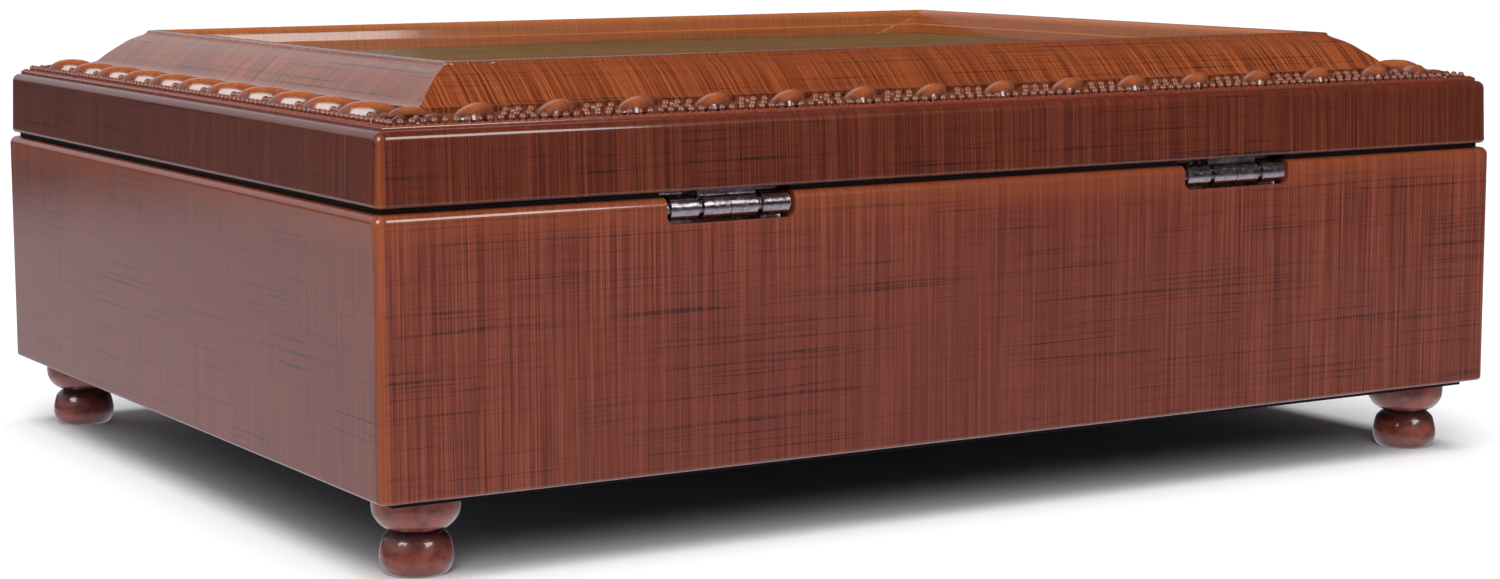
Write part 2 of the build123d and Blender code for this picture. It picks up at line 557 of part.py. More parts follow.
with BuildPart() as wind_up_key:
    with Locations((AX, AY, 7.0)):
        Cylinder(3.0, 5.0)
    with BuildSketch(Plane(origin=(AX, AY + 0.8, 0), x_dir=(1, 0, 0), z_dir=(0, -1, 0))):
        with Locations((0, 5.7)):
            SlotOverall(24.0, 6.4)
        with Locations((7.6, 5.7), (-7.6, 5.7)):
            SlotOverall(6.0, 2.2, mode=Mode.SUBTRACT)
    extrude(amount=1.6)
    with Locations((AX, AY, 7.6)):
        Cylinder(1.5, 5.0, mode=Mode.SUBTRACT)
    with Locations((AX, AY, 3.0)):
        Cylinder(3.0, 1.0)
    with Locations((AX, AY, 7.0)):
        Cylinder(1.5, 6.0, mode=Mode.SUBTRACT)
wind_up_key.part.label = "wind_up_key"
export_step(wind_up_key.part, "parts/wind_up_key.step")


def tooth(r_root, r_tip, w_root, w_tip):
    """Outline of one gear tooth, pointing along +x from the gear's middle."""
    return [(r_root - 0.15, -w_root / 2), (r_tip, -w_tip / 2), (r_tip, w_tip / 2), (r_root - 0.15, w_root / 2)]


# crown wheel: teeth stand up from its rim. A gap faces the pinion (-X).
with BuildPart() as crown_wheel:
    with BuildSketch(Plane.XY.offset(23.6)):
        with Locations((AX, AY)):
            Circle(12.2)
            with PolarLocations(6.6, 4, start_angle=45):
                Circle(2.4, mode=Mode.SUBTRACT)
    extrude(amount=1.6)
    with BuildSketch(Plane.XY.offset(25.0)):
        with Locations((AX, AY)):
            with PolarLocations(11.1, N_CROWN, start_angle=180 + 180 / N_CROWN):
                Rectangle(2.2, 0.55)
    extrude(amount=1.4)
    with Locations((AX, AY, 25.0)):
        Cylinder(2.8, 2.8)
    with Locations((AX, AY, 25.0)):
        Cylinder(1.5, 4.0, mode=Mode.SUBTRACT)
crown_wheel.part.label = "crown_wheel"
export_step(crown_wheel.part, "parts/crown_wheel.step")

# cylinder with the pins of a tune, one track for each comb tooth
with BuildPart() as music_cylinder:
    with BuildSketch(Plane(origin=(mx(14.9), AY, ZC), x_dir=(0, 1, 0), z_dir=(-1, 0, 0))):
        Circle(CYL_R)
        Circle(1.0, mode=Mode.SUBTRACT)
    extrude(amount=CYL_L)
    TRACK = CYL_L / TEETH_COMB
    pin_at = []
    for t in range(TEETH_COMB):
        for j in range(4):
            ang = (t * 137.5 + j * 90 + ((t * 7 + j * 5) % 11) * 4.1) % 360
            pin_at.append((mx(14.9 + (t + 0.5) * TRACK), ang))
    for px, ang in pin_at:
        d = Vector(0, cos(radians(ang)), sin(radians(ang)))
        with Locations(Plane(origin=Vector(px, AY, ZC) + d * (CYL_R - 0.3), z_dir=d)):
            Cylinder(0.22, PIN_TIP_R - CYL_R + 0.3, align=(Align.CENTER, Align.CENTER, Align.MIN))
music_cylinder.part.label = "music_cylinder"
export_step(music_cylinder.part, "parts/music_cylinder.step")

with BuildPart() as cylinder_arbor:
    with Locations(Location((mx(25.1), AY, ZC), (0, 90, 0))):
        Cylinder(1.0, 31.0)
cylinder_arbor.part.label = "cylinder_arbor"
export_step(cylinder_arbor.part, "parts/cylinder_arbor.step")

with BuildPart() as cylinder_pinion:
    with BuildSketch(Plane(origin=(mx(12.2), AY, ZC), x_dir=(0, 1, 0), z_dir=(1, 0, 0))):
        Circle(3.2)
        with PolarLocations(0, N_PINION, start_angle=-90):
            Polygon(*tooth(3.2, 4.3, 0.62, 0.36), align=None)
        Circle(1.0, mode=Mode.SUBTRACT)
    extrude(amount=2.4)
cylinder_pinion.part.label = "cylinder_pinion"
export_step(cylinder_pinion.part, "parts/cylinder_pinion.step")

# cylinder wheel: a tooth faces the first governor pinion
ANG1 = 41.80                                             # from +Y towards +Z, to the first governor axis
with BuildPart() as cylinder_wheel:
    with BuildSketch(Plane(origin=(mx(37.6), AY, ZC), x_dir=(0, 1, 0), z_dir=(1, 0, 0))):
        Circle(8.3)
        with PolarLocations(0, N_WHEEL, start_angle=ANG1):
            Polygon(*tooth(8.3, 9.12, 0.5, 0.28), align=None)
        with PolarLocations(5.2, 5, start_angle=20):
            Circle(1.9, mode=Mode.SUBTRACT)
        Circle(1.0, mode=Mode.SUBTRACT)
    extrude(amount=1.0)
cylinder_wheel.part.label = "cylinder_wheel"
export_step(cylinder_wheel.part, "parts/cylinder_wheel.step")

with BuildPart() as cylinder_brackets:
    for u0, top, y0, y1 in ((13.0, 33.2, -5.0, 5.0), (38.6, 40.2, -5.0, 15.2)):
        with Locations((mx(u0 + 0.6), AY + (y0 + y1) / 2, (PLATE_Z + top) / 2)):
            Box(1.2, y1 - y0, top - PLATE_Z)
    with Locations(Location((mx(26.0), AY, ZC), (0, 90, 0))):
        Cylinder(1.05, 30.0, mode=Mode.SUBTRACT)
    with Locations(Location((mx(39.2), GOV1_Y, GOV1_Z), (0, 90, 0))):
        Cylinder(0.65, 3.0, mode=Mode.SUBTRACT)
    with Locations(Location((mx(39.2), GOV2_Y, GOV2_Z), (0, 90, 0))):
        Cylinder(0.55, 3.0, mode=Mode.SUBTRACT)
    # clipped corner so that the fan sweeps past
    with Locations((mx(39.2), AY + 15.2, 40.2)):
        Box(3.0, 6.0, 3.0, mode=Mode.SUBTRACT)
cylinder_brackets.part.label = "cylinder_brackets"
export_step(cylinder_brackets.part, "parts/cylinder_brackets.step")

# comb of tuned steel teeth, screwed to its seat
COMB_Z = 29.5
with BuildPart() as comb:
    with BuildSketch(Plane.XY.offset(COMB_Z)):
        with Locations((mx(25.4), AY - 27.0)):
            Rectangle(24.0, 14.0)
        with Locations((mx(25.4), AY - 14.1)):
            Rectangle(CYL_L, 12.8)
        with Locations(*[(mx(14.9 + k * TRACK), AY - 13.9) for k in range(1, TEETH_COMB)]):
            Rectangle(0.34, 12.6, mode=Mode.SUBTRACT)
        with Locations(*[(mx(25.4 + d), AY - 28.0) for d in (-7, 7)]):
            Circle(1.1, mode=Mode.SUBTRACT)
    extrude(amount=1.1)
comb.part.label = "comb"
export_step(comb.part, "parts/comb.step")

with BuildPart() as comb_screws:
    with Locations(*[(mx(25.4 + d), AY - 28.0, COMB_Z + 1.1 + 0.8) for d in (-7, 7)]):
        Cylinder(2.1, 1.6)
    with Locations(*[(mx(25.4 + d), AY - 28.0, 28.2) for d in (-7, 7)]):
        Cylinder(1.0, 5.0)
    with Locations(*[(mx(25.4 + d), AY - 28.0, COMB_Z + 2.5) for d in (-7, 7)]):
        Box(4.4, 0.6, 0.8, mode=Mode.SUBTRACT)
comb_screws.part.label = "comb_screws"
export_step(comb_screws.part, "parts/comb_screws.step")

# speed governor: two wheels, a worm and a fan that beats the air
with BuildPart() as governor_frame:
    with Locations((mx(43.4), AY + 11.6, PLATE_Z + 0.6)):
        Box(6.4, 15.6, 1.2)
    with Locations((mx(46.1), AY + 9.5, (PLATE_Z + 40.2) / 2)):
        Box(1.0, 11.0, 40.2 - PLATE_Z)
    with Locations((FAN_X, FAN_Y, (PLATE_Z + 24.0) / 2)):
        Box(3.6, 3.6, 24.0 - PLATE_Z)
    with Locations((mx(44.3), AY + 16.7, 38.1)):
        Box(4.6, 5.4, 1.0)
    with Locations(Location((mx(46.1), GOV1_Y, GOV1_Z), (0, 90, 0))):
        Cylinder(0.65, 3.0, mode=Mode.SUBTRACT)
    with Locations(Location((mx(46.1), GOV2_Y, GOV2_Z), (0, 90, 0))):
        Cylinder(0.55, 3.0, mode=Mode.SUBTRACT)
    with Locations((FAN_X, FAN_Y, 38.1)):
        Cylinder(0.55, 3.0, mode=Mode.SUBTRACT)
    with Locations((FAN_X, FAN_Y, 23.0)):
        Cylinder(0.55, 3.0, mode=Mode.SUBTRACT)
    with Locations((mx(43.4), AY + 6.4, PLATE_Z + 0.6)):
        Cylinder(0.9, 1.2, mode=Mode.SUBTRACT)
governor_frame.part.label = "governor_frame"
export_step(governor_frame.part, "parts/governor_frame.step")

with BuildPart() as governor_screw:
    with Locations((mx(43.4), AY + 6.4, PLATE_Z + 1.2 + 0.5)):
        Cylinder(1.7, 1.0)
    with Locations((mx(43.4), AY + 6.4, PLATE_Z + 0.8)):
        Cylinder(0.85, 1.6)
governor_screw.part.label = "governor_screw"
export_step(governor_screw.part, "parts/governor_screw.step")

# first governor shaft: pinion (a gap faces the cylinder wheel) and wheel
ANG2 = 311.82                                            # from +Y towards +Z, from the first axis to the second
with BuildPart() as governor_pinion_1:
    with BuildSketch(Plane(origin=(mx(37.8), GOV1_Y, GOV1_Z), x_dir=(0, 1, 0), z_dir=(1, 0, 0))):
        Circle(1.68)
        with PolarLocations(0, N_GOV_P1, start_angle=ANG1 + 180 + 180 / N_GOV_P1):
            Polygon(*tooth(1.68, 2.5, 0.46, 0.24), align=None)
    extrude(amount=1.4)
    with Locations(Location((mx(41.25), GOV1_Y, GOV1_Z), (0, 90, 0))):
        Cylinder(0.6, 10.6)
governor_pinion_1.part.label = "governor_pinion_1"
export_step(governor_pinion_1.part, "parts/governor_pinion_1.step")

with BuildPart() as governor_wheel_1:
    with BuildSketch(Plane(origin=(mx(41.5), GOV1_Y, GOV1_Z), x_dir=(0, 1, 0), z_dir=(1, 0, 0))):
        Circle(5.02)
        with PolarLocations(0, N_GOV_W1, start_angle=ANG2):
            Polygon(*tooth(5.02, 5.62, 0.36, 0.2), align=None)
        with PolarLocations(3.1, 4, start_angle=10):
            Circle(1.1, mode=Mode.SUBTRACT)
        Circle(0.6, mode=Mode.SUBTRACT)
    extrude(amount=0.7)
governor_wheel_1.part.label = "governor_wheel_1"
export_step(governor_wheel_1.part, "parts/governor_wheel_1.step")

with BuildPart() as governor_pinion_2:
    with BuildSketch(Plane(origin=(mx(41.7), GOV2_Y, GOV2_Z), x_dir=(0, 1, 0), z_dir=(1, 0, 0))):
        Circle(0.98)
        with PolarLocations(0, N_GOV_P2, start_angle=ANG2 + 180 + 180 / N_GOV_P2):
            Polygon(*tooth(0.98, 1.56, 0.34, 0.18), align=None)
    extrude(amount=1.1)
    with Locations(Location((mx(42.5), GOV2_Y, GOV2_Z), (0, 90, 0))):
        Cylinder(0.5, 8.2)
governor_pinion_2.part.label = "governor_pinion_2"
export_step(governor_pinion_2.part, "parts/governor_pinion_2.step")

with BuildPart() as governor_wheel_2:
    with BuildSketch(Plane(origin=(mx(44.0), GOV2_Y, GOV2_Z), x_dir=(0, 1, 0), z_dir=(1, 0, 0))):
        Circle(3.4)
        with PolarLocations(0, N_GOV_W2, start_angle=0):
            Polygon(*tooth(3.4, 3.98, 0.36, 0.2), align=None)
        Circle(0.5, mode=Mode.SUBTRACT)
    extrude(amount=1.0)
governor_wheel_2.part.label = "governor_wheel_2"
export_step(governor_wheel_2.part, "parts/governor_wheel_2.step")

with BuildPart() as worm_shaft:
    with Locations((FAN_X, FAN_Y, (22.0 + 45.2) / 2)):
        Cylinder(0.5, 45.2 - 22.0)
    with Locations((FAN_X, FAN_Y, 32.3)):
        Cylinder(0.82, 9.6)
worm_shaft.part.label = "worm_shaft"
export_step(worm_shaft.part, "parts/worm_shaft.step")

with BuildPart() as fan_blades:
    with Locations((FAN_X, FAN_Y, 43.0)):
        Cylinder(1.3, 4.6)
    with Locations(Location((FAN_X, FAN_Y, 43.0), (0, 0, 45))):
        Box(8.4, 0.4, 4.4)
    with Locations((FAN_X, FAN_Y, 43.0)):
        Cylinder(0.5, 5.0, mode=Mode.SUBTRACT)
fan_blades.part.label = "fan_blades"
export_step(fan_blades.part, "parts/fan_blades.step")

# stop works: the closing lid presses the rod down and its arm checks the fan
with BuildPart() as stop_rod:
    with Locations((ROD_X, ROD_Y, (19.8 + 57.0) / 2)):
        Cylinder(1.0, 57.0 - 19.8)
    with Locations((ROD_X, ROD_Y, 36.6)):
        Cylinder(2.0, 0.8)
    fillet(stop_rod.faces().sort_by(Axis.Z)[-1].edges(), 0.4)
stop_rod.part.label = "stop_rod"
export_step(stop_rod.part, "parts/stop_rod.step")

with BuildPart() as stop_arm:
    with BuildSketch(Plane.XY.offset(45.5)):
        with Locations(((ROD_X + FAN_X) / 2 + 0.4, ROD_Y)):
            SlotOverall(9.6, 2.6)
        with Locations((ROD_X, ROD_Y)):
            Circle(1.9)
            Circle(1.0, mode=Mode.SUBTRACT)
    extrude(amount=0.9)
stop_arm.part.label = "stop_arm"
export_step(stop_arm.part, "parts/stop_arm.step")

with BuildPart() as stop_rod_guide:
    with Locations((ROD_X, ROD_Y, (PLATE_Z + 29.0) / 2)):
        Cylinder(2.3, 29.0 - PLATE_Z)
    with Locations((ROD_X, ROD_Y, 24.5)):
        Cylinder(1.05, 9.6, mode=Mode.SUBTRACT)
stop_rod_guide.part.label = "stop_rod_guide"
export_step(stop_rod_guide.part, "parts/stop_rod_guide.step")

# return spring of the stop rod, pressed while the lid is shut
with BuildPart() as stop_spring:
    with BuildLine(Plane(origin=(ROD_X, ROD_Y, 29.25))) as coil:
        Helix(pitch=1.32, height=6.6, radius=1.55)
    with BuildSketch(Plane(origin=coil.line @ 0, z_dir=coil.line % 0)):
        Circle(0.22)
    sweep()
stop_spring.part.label = "stop_spring"
export_step(stop_spring.part, "parts/stop_spring.step")

for p in (base_walls, lid_frame, long_rail, short_rail, lid_moulding, music_cylinder, comb):
    print(p.part.label, len(p.part.solids()), round(p.part.volume, 1))
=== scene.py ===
import json
import math

import bmesh
import bpy
import numpy as np
from mathutils import Matrix, Vector
from mathutils import noise as mnoise


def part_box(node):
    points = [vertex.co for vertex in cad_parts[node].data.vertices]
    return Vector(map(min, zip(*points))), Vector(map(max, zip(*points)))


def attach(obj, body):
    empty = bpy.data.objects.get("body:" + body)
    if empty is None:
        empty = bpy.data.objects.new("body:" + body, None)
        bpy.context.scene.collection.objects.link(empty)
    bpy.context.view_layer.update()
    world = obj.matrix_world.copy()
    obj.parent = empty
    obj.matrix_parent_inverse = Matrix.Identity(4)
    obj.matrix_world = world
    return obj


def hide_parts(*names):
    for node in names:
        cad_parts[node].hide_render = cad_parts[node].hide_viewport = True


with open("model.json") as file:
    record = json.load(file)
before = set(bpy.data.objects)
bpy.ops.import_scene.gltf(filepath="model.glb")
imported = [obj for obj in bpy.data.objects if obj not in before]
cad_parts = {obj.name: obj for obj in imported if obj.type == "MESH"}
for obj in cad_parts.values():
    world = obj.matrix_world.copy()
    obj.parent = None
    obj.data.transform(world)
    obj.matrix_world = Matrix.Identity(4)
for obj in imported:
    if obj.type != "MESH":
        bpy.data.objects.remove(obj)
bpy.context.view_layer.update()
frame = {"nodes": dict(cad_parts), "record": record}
nodes = frame["nodes"]
scene = bpy.context.scene
MM = 0.001

# sizes read from the frame, in mm
base_lo, base_hi = (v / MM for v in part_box("base_walls"))
HX, HY = base_hi.x, base_hi.y  # half length and half width of the base
Z_WALL, Z_RIM = base_lo.z, base_hi.z
lid_lo, lid_hi = (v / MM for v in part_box("lid_frame"))
trim_lo, trim_hi = (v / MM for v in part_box("beaded_trim"))
Z_LEDGE = trim_lo.z


# ------------------------------------------------------------ node helpers
def lin(r, g, b):
    """sRGB 0-255 to linear"""
    return tuple(
        (c / 255 / 12.92 if c / 255 <= 0.04045 else ((c / 255 + 0.055) / 1.055) ** 2.4)
        for c in (r, g, b)
    ) + (1.0,)


class Mat:
    def __init__(self, name, **inputs):
        self.m = bpy.data.materials.new(name)
        self.m.use_nodes = True
        self.t = self.m.node_tree
        self.t.nodes.clear()
        self.out = self.n("ShaderNodeOutputMaterial")
        self.b = self.n("ShaderNodeBsdfPrincipled")
        self.t.links.new(self.b.outputs[0], self.out.inputs[0])
        self._mm = None
        for k, v in inputs.items():
            self.set(k.replace("_", " "), v)

    def n(self, kind, **props):
        node = self.t.nodes.new(kind)
        for k, v in props.items():
            setattr(node, k, v)
        return node

    def set(self, name, value):
        self.put(self.b.inputs[name], value)

    def put(self, sock, v):
        if isinstance(v, bpy.types.NodeSocket):
            self.t.links.new(v, sock)
        else:
            sock.default_value = v

    def math(self, op, a, b=0.0, c=0.0, clamp=False):
        nd = self.n("ShaderNodeMath", operation=op, use_clamp=clamp)
        for s, v in zip(nd.inputs, (a, b, c)):
            self.put(s, v)
        return nd.outputs[0]

    def mm(self):
        if self._mm is None:
            tc = self.n("ShaderNodeTexCoord")
            vm = self.n("ShaderNodeVectorMath", operation="SCALE")
            self.t.links.new(tc.outputs["Object"], vm.inputs[0])
            vm.inputs["Scale"].default_value = 1000.0
            self._mm = vm.outputs[0]
        return self._mm

    def xyz(self):
        s = self.n("ShaderNodeSeparateXYZ")
        self.put(s.inputs[0], self.mm())
        return s.outputs[0], s.outputs[1], s.outputs[2]

    def vec(self, x, y=0.0, z=0.0):
        c = self.n("ShaderNodeCombineXYZ")
        for s, v in zip(c.inputs, (x, y, z)):
            self.put(s, v)
        return c.outputs[0]

    def scaled(self, sx, sy, sz):
        v = self.n("ShaderNodeVectorMath", operation="MULTIPLY")
        self.put(v.inputs[0], self.mm())
        v.inputs[1].default_value = (sx, sy, sz)
        return v.outputs[0]

    def noise(self, vec, scale=1.0, detail=2.0, rough=0.5, dist=0.0):
        nd = self.n("ShaderNodeTexNoise")
        self.put(nd.inputs["Vector"], vec)
        self.put(nd.inputs["Scale"], scale)
        self.put(nd.inputs["Detail"], detail)
        self.put(nd.inputs["Roughness"], rough)
        self.put(nd.inputs["Distortion"], dist)
        return nd.outputs[0]

    def rng(self, v, a, b, lo=0.0, hi=1.0, smooth=True):
        nd = self.n("ShaderNodeMapRange")
        nd.interpolation_type = "SMOOTHSTEP" if smooth else "LINEAR"
        self.put(nd.inputs["Value"], v)
        for k, x in (("From Min", a), ("From Max", b), ("To Min", lo), ("To Max", hi)):
            nd.inputs[k].default_value = x
        return nd.outputs[0]

    def mix(self, f, a, b, blend="MIX"):
        nd = self.n("ShaderNodeMix", data_type="RGBA", blend_type=blend)
        self.put(nd.inputs[0], f)
        self.put(nd.inputs[6], a)
        self.put(nd.inputs[7], b)
        return nd.outputs[2]

    def mixf(self, f, a, b):
        nd = self.n("ShaderNodeMix", data_type="FLOAT")
        self.put(nd.inputs[0], f)
        self.put(nd.inputs[2], a)
        self.put(nd.inputs[3], b)
        return nd.outputs[0]

    def ramp(self, f, *stops):
        nd = self.n("ShaderNodeValToRGB")
        self.put(nd.inputs[0], f)
        cr = nd.color_ramp
        while len(cr.elements) < len(stops):
            cr.elements.new(0.5)
        for e, (p, c) in zip(cr.elements, stops):
            e.position = p
            e.color = c
        return nd.outputs[0]

    def bump(self, h, strength=0.3, dist=0.05):
        """dist in mm"""
        nd = self.n("ShaderNodeBump")
        nd.inputs["Strength"].default_value = strength
        nd.inputs["Distance"].default_value = dist * MM
        self.put(nd.inputs["Height"], h)
        self.put(self.b.inputs["Normal"], nd.outputs[0])
        return nd.outputs[0]


# ------------------------------------------------------------ lacquered wood
def lacquer(name, light, mid, dark, streak, hx, hy, contrast=1.0, seed=0.0, long_streaks=1.0, band=None, run=0.024, rows=2.1, gate=(0.36, 0.56), inner=None):
    """Brown lacquer printed with a linen-like cross grain: fine threads across each rail and dark streaks along it."""
    k = Mat(name, Roughness=0.34)
    k.b.inputs["Specular IOR Level"].default_value = 0.18
    k.b.inputs["Coat Weight"].default_value = 1.0
    k.b.inputs["Coat Roughness"].default_value = 0.07
    k.b.inputs["Coat IOR"].default_value = 1.5
    x, y, z = k.xyz()
    ax = k.math("SUBTRACT", hx, k.math("ABSOLUTE", x))
    ay = k.math("SUBTRACT", hy, k.math("ABSOLUTE", y))
    side = k.math("LESS_THAN", ax, ay)
    U = k.mixf(side, x, y)
    other = k.mixf(side, y, x)
    D = k.math("MINIMUM", ax, ay)
    V = k.math("ADD", z, D)
    S = k.math("ADD", k.math("MULTIPLY", side, 31.7), k.math("MULTIPLY", k.math("SIGN", other), 7.3))
    S = k.math("ADD", S, seed)

    def tex(fu, fv, off, detail, rough, dist=0.0):
        return k.noise(
            k.vec(k.math("MULTIPLY", U, fu), k.math("MULTIPLY", V, fv), k.math("ADD", S, off)),
            1.0, detail, rough, dist,
        )

    thread = tex(3.9, 0.032, 0.0, 3.0, 0.55)
    thread2 = tex(0.95, 0.024, 5.0, 3.0, 0.7)
    streaks = tex(run, rows, 9.0, 3.0, 0.62)
    fine = tex(0.085, 3.3, 20.0, 3.0, 0.6)
    patch = tex(0.030, 0.055, 40.0, 2.0, 0.5)
    patch2 = tex(0.022, 0.040, 52.0, 2.0, 0.5)
    cloud = tex(0.010, 0.018, 60.0, 2.0, 0.5)
    col = k.ramp(
        thread,
        (0.5 - 0.20 / contrast, dark),
        (0.50, mid),
        (0.5 + 0.18 / contrast, light),
    )
    # dark threads in groups
    g = k.math("MULTIPLY", k.rng(thread2, 0.47, 0.33), k.rng(patch2, 0.35, 0.62))
    col = k.mix(k.math("MULTIPLY", g, 0.38), col, k.mix(0.5, dark, streak))
    # large soft clouds, redder where dark
    col = k.mix(k.math("MULTIPLY", k.rng(cloud, 0.60, 0.36), 0.42), col, k.mix(0.55, dark, mid))
    # faint lines along the rail, everywhere
    col = k.mix(k.math("MULTIPLY", k.rng(fine, 0.52, 0.68), 0.42), col, dark)
    # strong near-black streaks in patches
    s = k.math("MULTIPLY", k.rng(streaks, 0.56, 0.65), k.rng(patch, *gate))
    s = k.math("MULTIPLY", s, k.rng(thread, 0.62, 0.44, 0.35, 1.0))
    col = k.mix(k.math("MULTIPLY", s, 0.82 * long_streaks), col, streak)
    # lighter orange along the vertical corners, within 1.7 mm of both faces
    corner_orange = k.math("MULTIPLY", k.rng(k.math("MAXIMUM", ax, ay), 1.7, 0.5), 0.6)
    col = k.mix(corner_orange, col, lin(150, 76, 34))
    if band:
        lo, hi, amount = band
        f = k.math("MULTIPLY", k.rng(z, lo, hi), k.rng(D, 2.5, 0.8, 0.0, amount))
        col = k.mix(f, col, lin(150, 76, 34))
    if inner:
        # painted light: the face towards the picture is lightened towards orange for the light it catches
        start, full, amount, colour = inner
        col = k.mix(k.rng(D, start, full, 0.0, amount), col, colour)
    k.set("Base Color", col)
    h = k.math("ADD", k.math("MULTIPLY", thread, 0.6), k.math("MULTIPLY", fine, 0.5))
    h = k.math("SUBTRACT", h, k.math("MULTIPLY", s, 0.4))
    nrm = k.bump(h, 0.25, 0.035)
    k.put(k.b.inputs["Roughness"], k.rng(thread, 0.3, 0.7, 0.28, 0.42))
    # the coat carries a much weaker bump: a slight orange peel
    orange = k.noise(k.scaled(0.35, 0.35, 0.35), 1.0, 2.0, 0.5)
    nb = k.n("ShaderNodeBump")
    nb.inputs["Strength"].default_value = 0.12
    nb.inputs["Distance"].default_value = 0.00006
    k.put(nb.inputs["Height"], k.math("ADD", orange, k.math("MULTIPLY", thread, 0.12)))
    k.put(k.b.inputs["Coat Normal"], nb.outputs[0])
    return k.m


base_wood = lacquer(
    "lacquer_base", lin(140, 70, 48), lin(114, 51, 35), lin(84, 30, 23), lin(36, 16, 19),
    HX, HY, 1.0, 0.0, 1.0, band=(46.0, 51.5, 0.35),
)
lid_wood = lacquer(
    "lacquer_lid", lin(120, 54, 28), lin(94, 36, 17), lin(64, 20, 11), lin(26, 11, 10),
    HX - 0.4, HY - 0.4, 1.1, 3.3, 1.1,
)
mould_wood = lacquer(
    "lacquer_moulding", lin(172, 92, 44), lin(132, 60, 26), lin(76, 30, 14), lin(30, 12, 7),
    HX - 0.4, HY - 0.4, 1.35, 7.7, 1.25, run=0.013, rows=1.5, gate=(0.22, 0.42), inner=(20.6, 21.8, 0.44, lin(206, 122, 62)),
)
inner_wood = lacquer(
    "lacquer_inner", lin(150, 84, 50), lin(118, 62, 38), lin(74, 34, 22), lin(36, 18, 12),
    HX, HY, 1.0, 12.0, 0.8,
)


# ------------------------------------------------------------ other materials
def foot_material():
    k = Mat("foot_lacquer")
    k.b.inputs["Specular IOR Level"].default_value = 0.3
    k.b.inputs["Coat Weight"].default_value = 1.0
    k.b.inputs["Coat Roughness"].default_value = 0.09
    x, y, z = k.xyz()
    blotch = k.noise(k.scaled(0.35, 0.35, 0.5), 1.0, 4.0, 0.6)
    grainy = k.noise(k.scaled(1.6, 1.6, 5.0), 1.0, 3.0, 0.6)
    col = k.ramp(blotch, (0.3, lin(88, 34, 28)), (0.55, lin(136, 66, 54)), (0.75, lin(160, 82, 62)))
    col = k.mix(k.math("MULTIPLY", k.rng(grainy, 0.5, 0.7), 0.35), col, lin(82, 36, 28))
    # painted shade: a dark band in the groove at 6.25 mm height
    groove = k.math("ABSOLUTE", k.math("SUBTRACT", z, 6.25))
    col = k.mix(k.rng(groove, 0.9, 0.15, 0.0, 0.8), col, lin(38, 16, 12))
    # painted reflection: the upper part of the lower ball is darkened where it would mirror the dark surroundings
    col = k.mix(k.math("MULTIPLY", k.rng(z, 3.4, 5.6, 0.0, 0.7), k.math("LESS_THAN", z, 6.3)), col, lin(44, 15, 12))
    # painted shade: darker towards the bottom of the ball
    col = k.mix(k.rng(z, 1.2, 0.0, 0.0, 0.7), col, lin(40, 20, 16))
    k.set("Base Color", col)
    k.set("Roughness", k.rng(blotch, 0.3, 0.7, 0.30, 0.48))
    k.bump(grainy, 0.22, 0.04)
    return k.m


def trim_material(name="trim_composition", bead=False):
    """Moulded composition: colour graded by height, darker low down and lighter brown-orange on the crowns; glossy
    varnish.
    """
    k = Mat(name)
    k.b.inputs["Specular IOR Level"].default_value = 0.45
    k.b.inputs["Coat Weight"].default_value = 1.0
    k.b.inputs["Coat Roughness"].default_value = 0.13
    x, y, z = k.xyz()
    n1 = k.noise(k.scaled(0.9, 0.9, 0.9), 1.0, 4.0, 0.6)
    n2 = k.noise(k.scaled(3.0, 3.0, 3.0), 1.0, 3.0, 0.6)
    h = k.math("ADD", z, k.math("MULTIPLY", k.math("SUBTRACT", n1, 0.5), 0.8))
    col = k.ramp(
        k.rng(h, Z_LEDGE + 0.4, Z_LEDGE + 3.0, 0.0, 1.0, False),
        (0.0, lin(110, 56, 32)), (0.22, lin(84, 40, 26)), (0.5, lin(112, 56, 34)), (0.75, lin(142, 72, 34)), (1.0, lin(168, 88, 40)),
    )
    col = k.mix(k.math("MULTIPLY", k.rng(n2, 0.52, 0.7), 0.4), col, lin(62, 28, 18))
    if bead:
        col = k.ramp(n2, (0.35, lin(108, 58, 40)), (0.6, lin(142, 82, 58)))
    else:
        D = k.math("MINIMUM", k.math("SUBTRACT", HX, k.math("ABSOLUTE", x)), k.math("SUBTRACT", HY, k.math("ABSOLUTE", y)))
        inside = k.rng(D, HX - trim_hi.x + 0.8, HX - trim_hi.x + 1.1)
        col = k.mix(k.math("MULTIPLY", k.rng(h, Z_LEDGE + 1.75, Z_LEDGE + 1.15, 0.0, 0.6), inside), col, lin(52, 24, 18))
        col = k.mix(k.math("SUBTRACT", 1.0, inside), col, k.ramp(n2, (0.35, lin(108, 44, 28)), (0.65, lin(138, 62, 38))))
    k.set("Base Color", col)
    k.set("Roughness", k.rng(n1, 0.3, 0.7, 0.16, 0.3))
    k.bump(n2, 0.12, 0.04)
    return k.m


def black_nickel():
    k = Mat("black_nickel", Metallic=1.0)
    n1 = k.noise(k.scaled(0.7, 1.6, 1.6), 1.0, 4.0, 0.65)
    sp = k.noise(k.scaled(3.5, 3.5, 3.5), 1.0, 2.0, 0.5)
    col = k.ramp(n1, (0.3, lin(138, 129, 136)), (0.6, lin(176, 166, 172)))
    col = k.mix(k.rng(sp, 0.62, 0.72, 0.0, 0.6), col, lin(215, 205, 208))
    k.set("Base Color", col)
    k.set("Roughness", k.rng(n1, 0.35, 0.7, 0.13, 0.30))
    k.bump(sp, 0.10, 0.03)
    return k.m


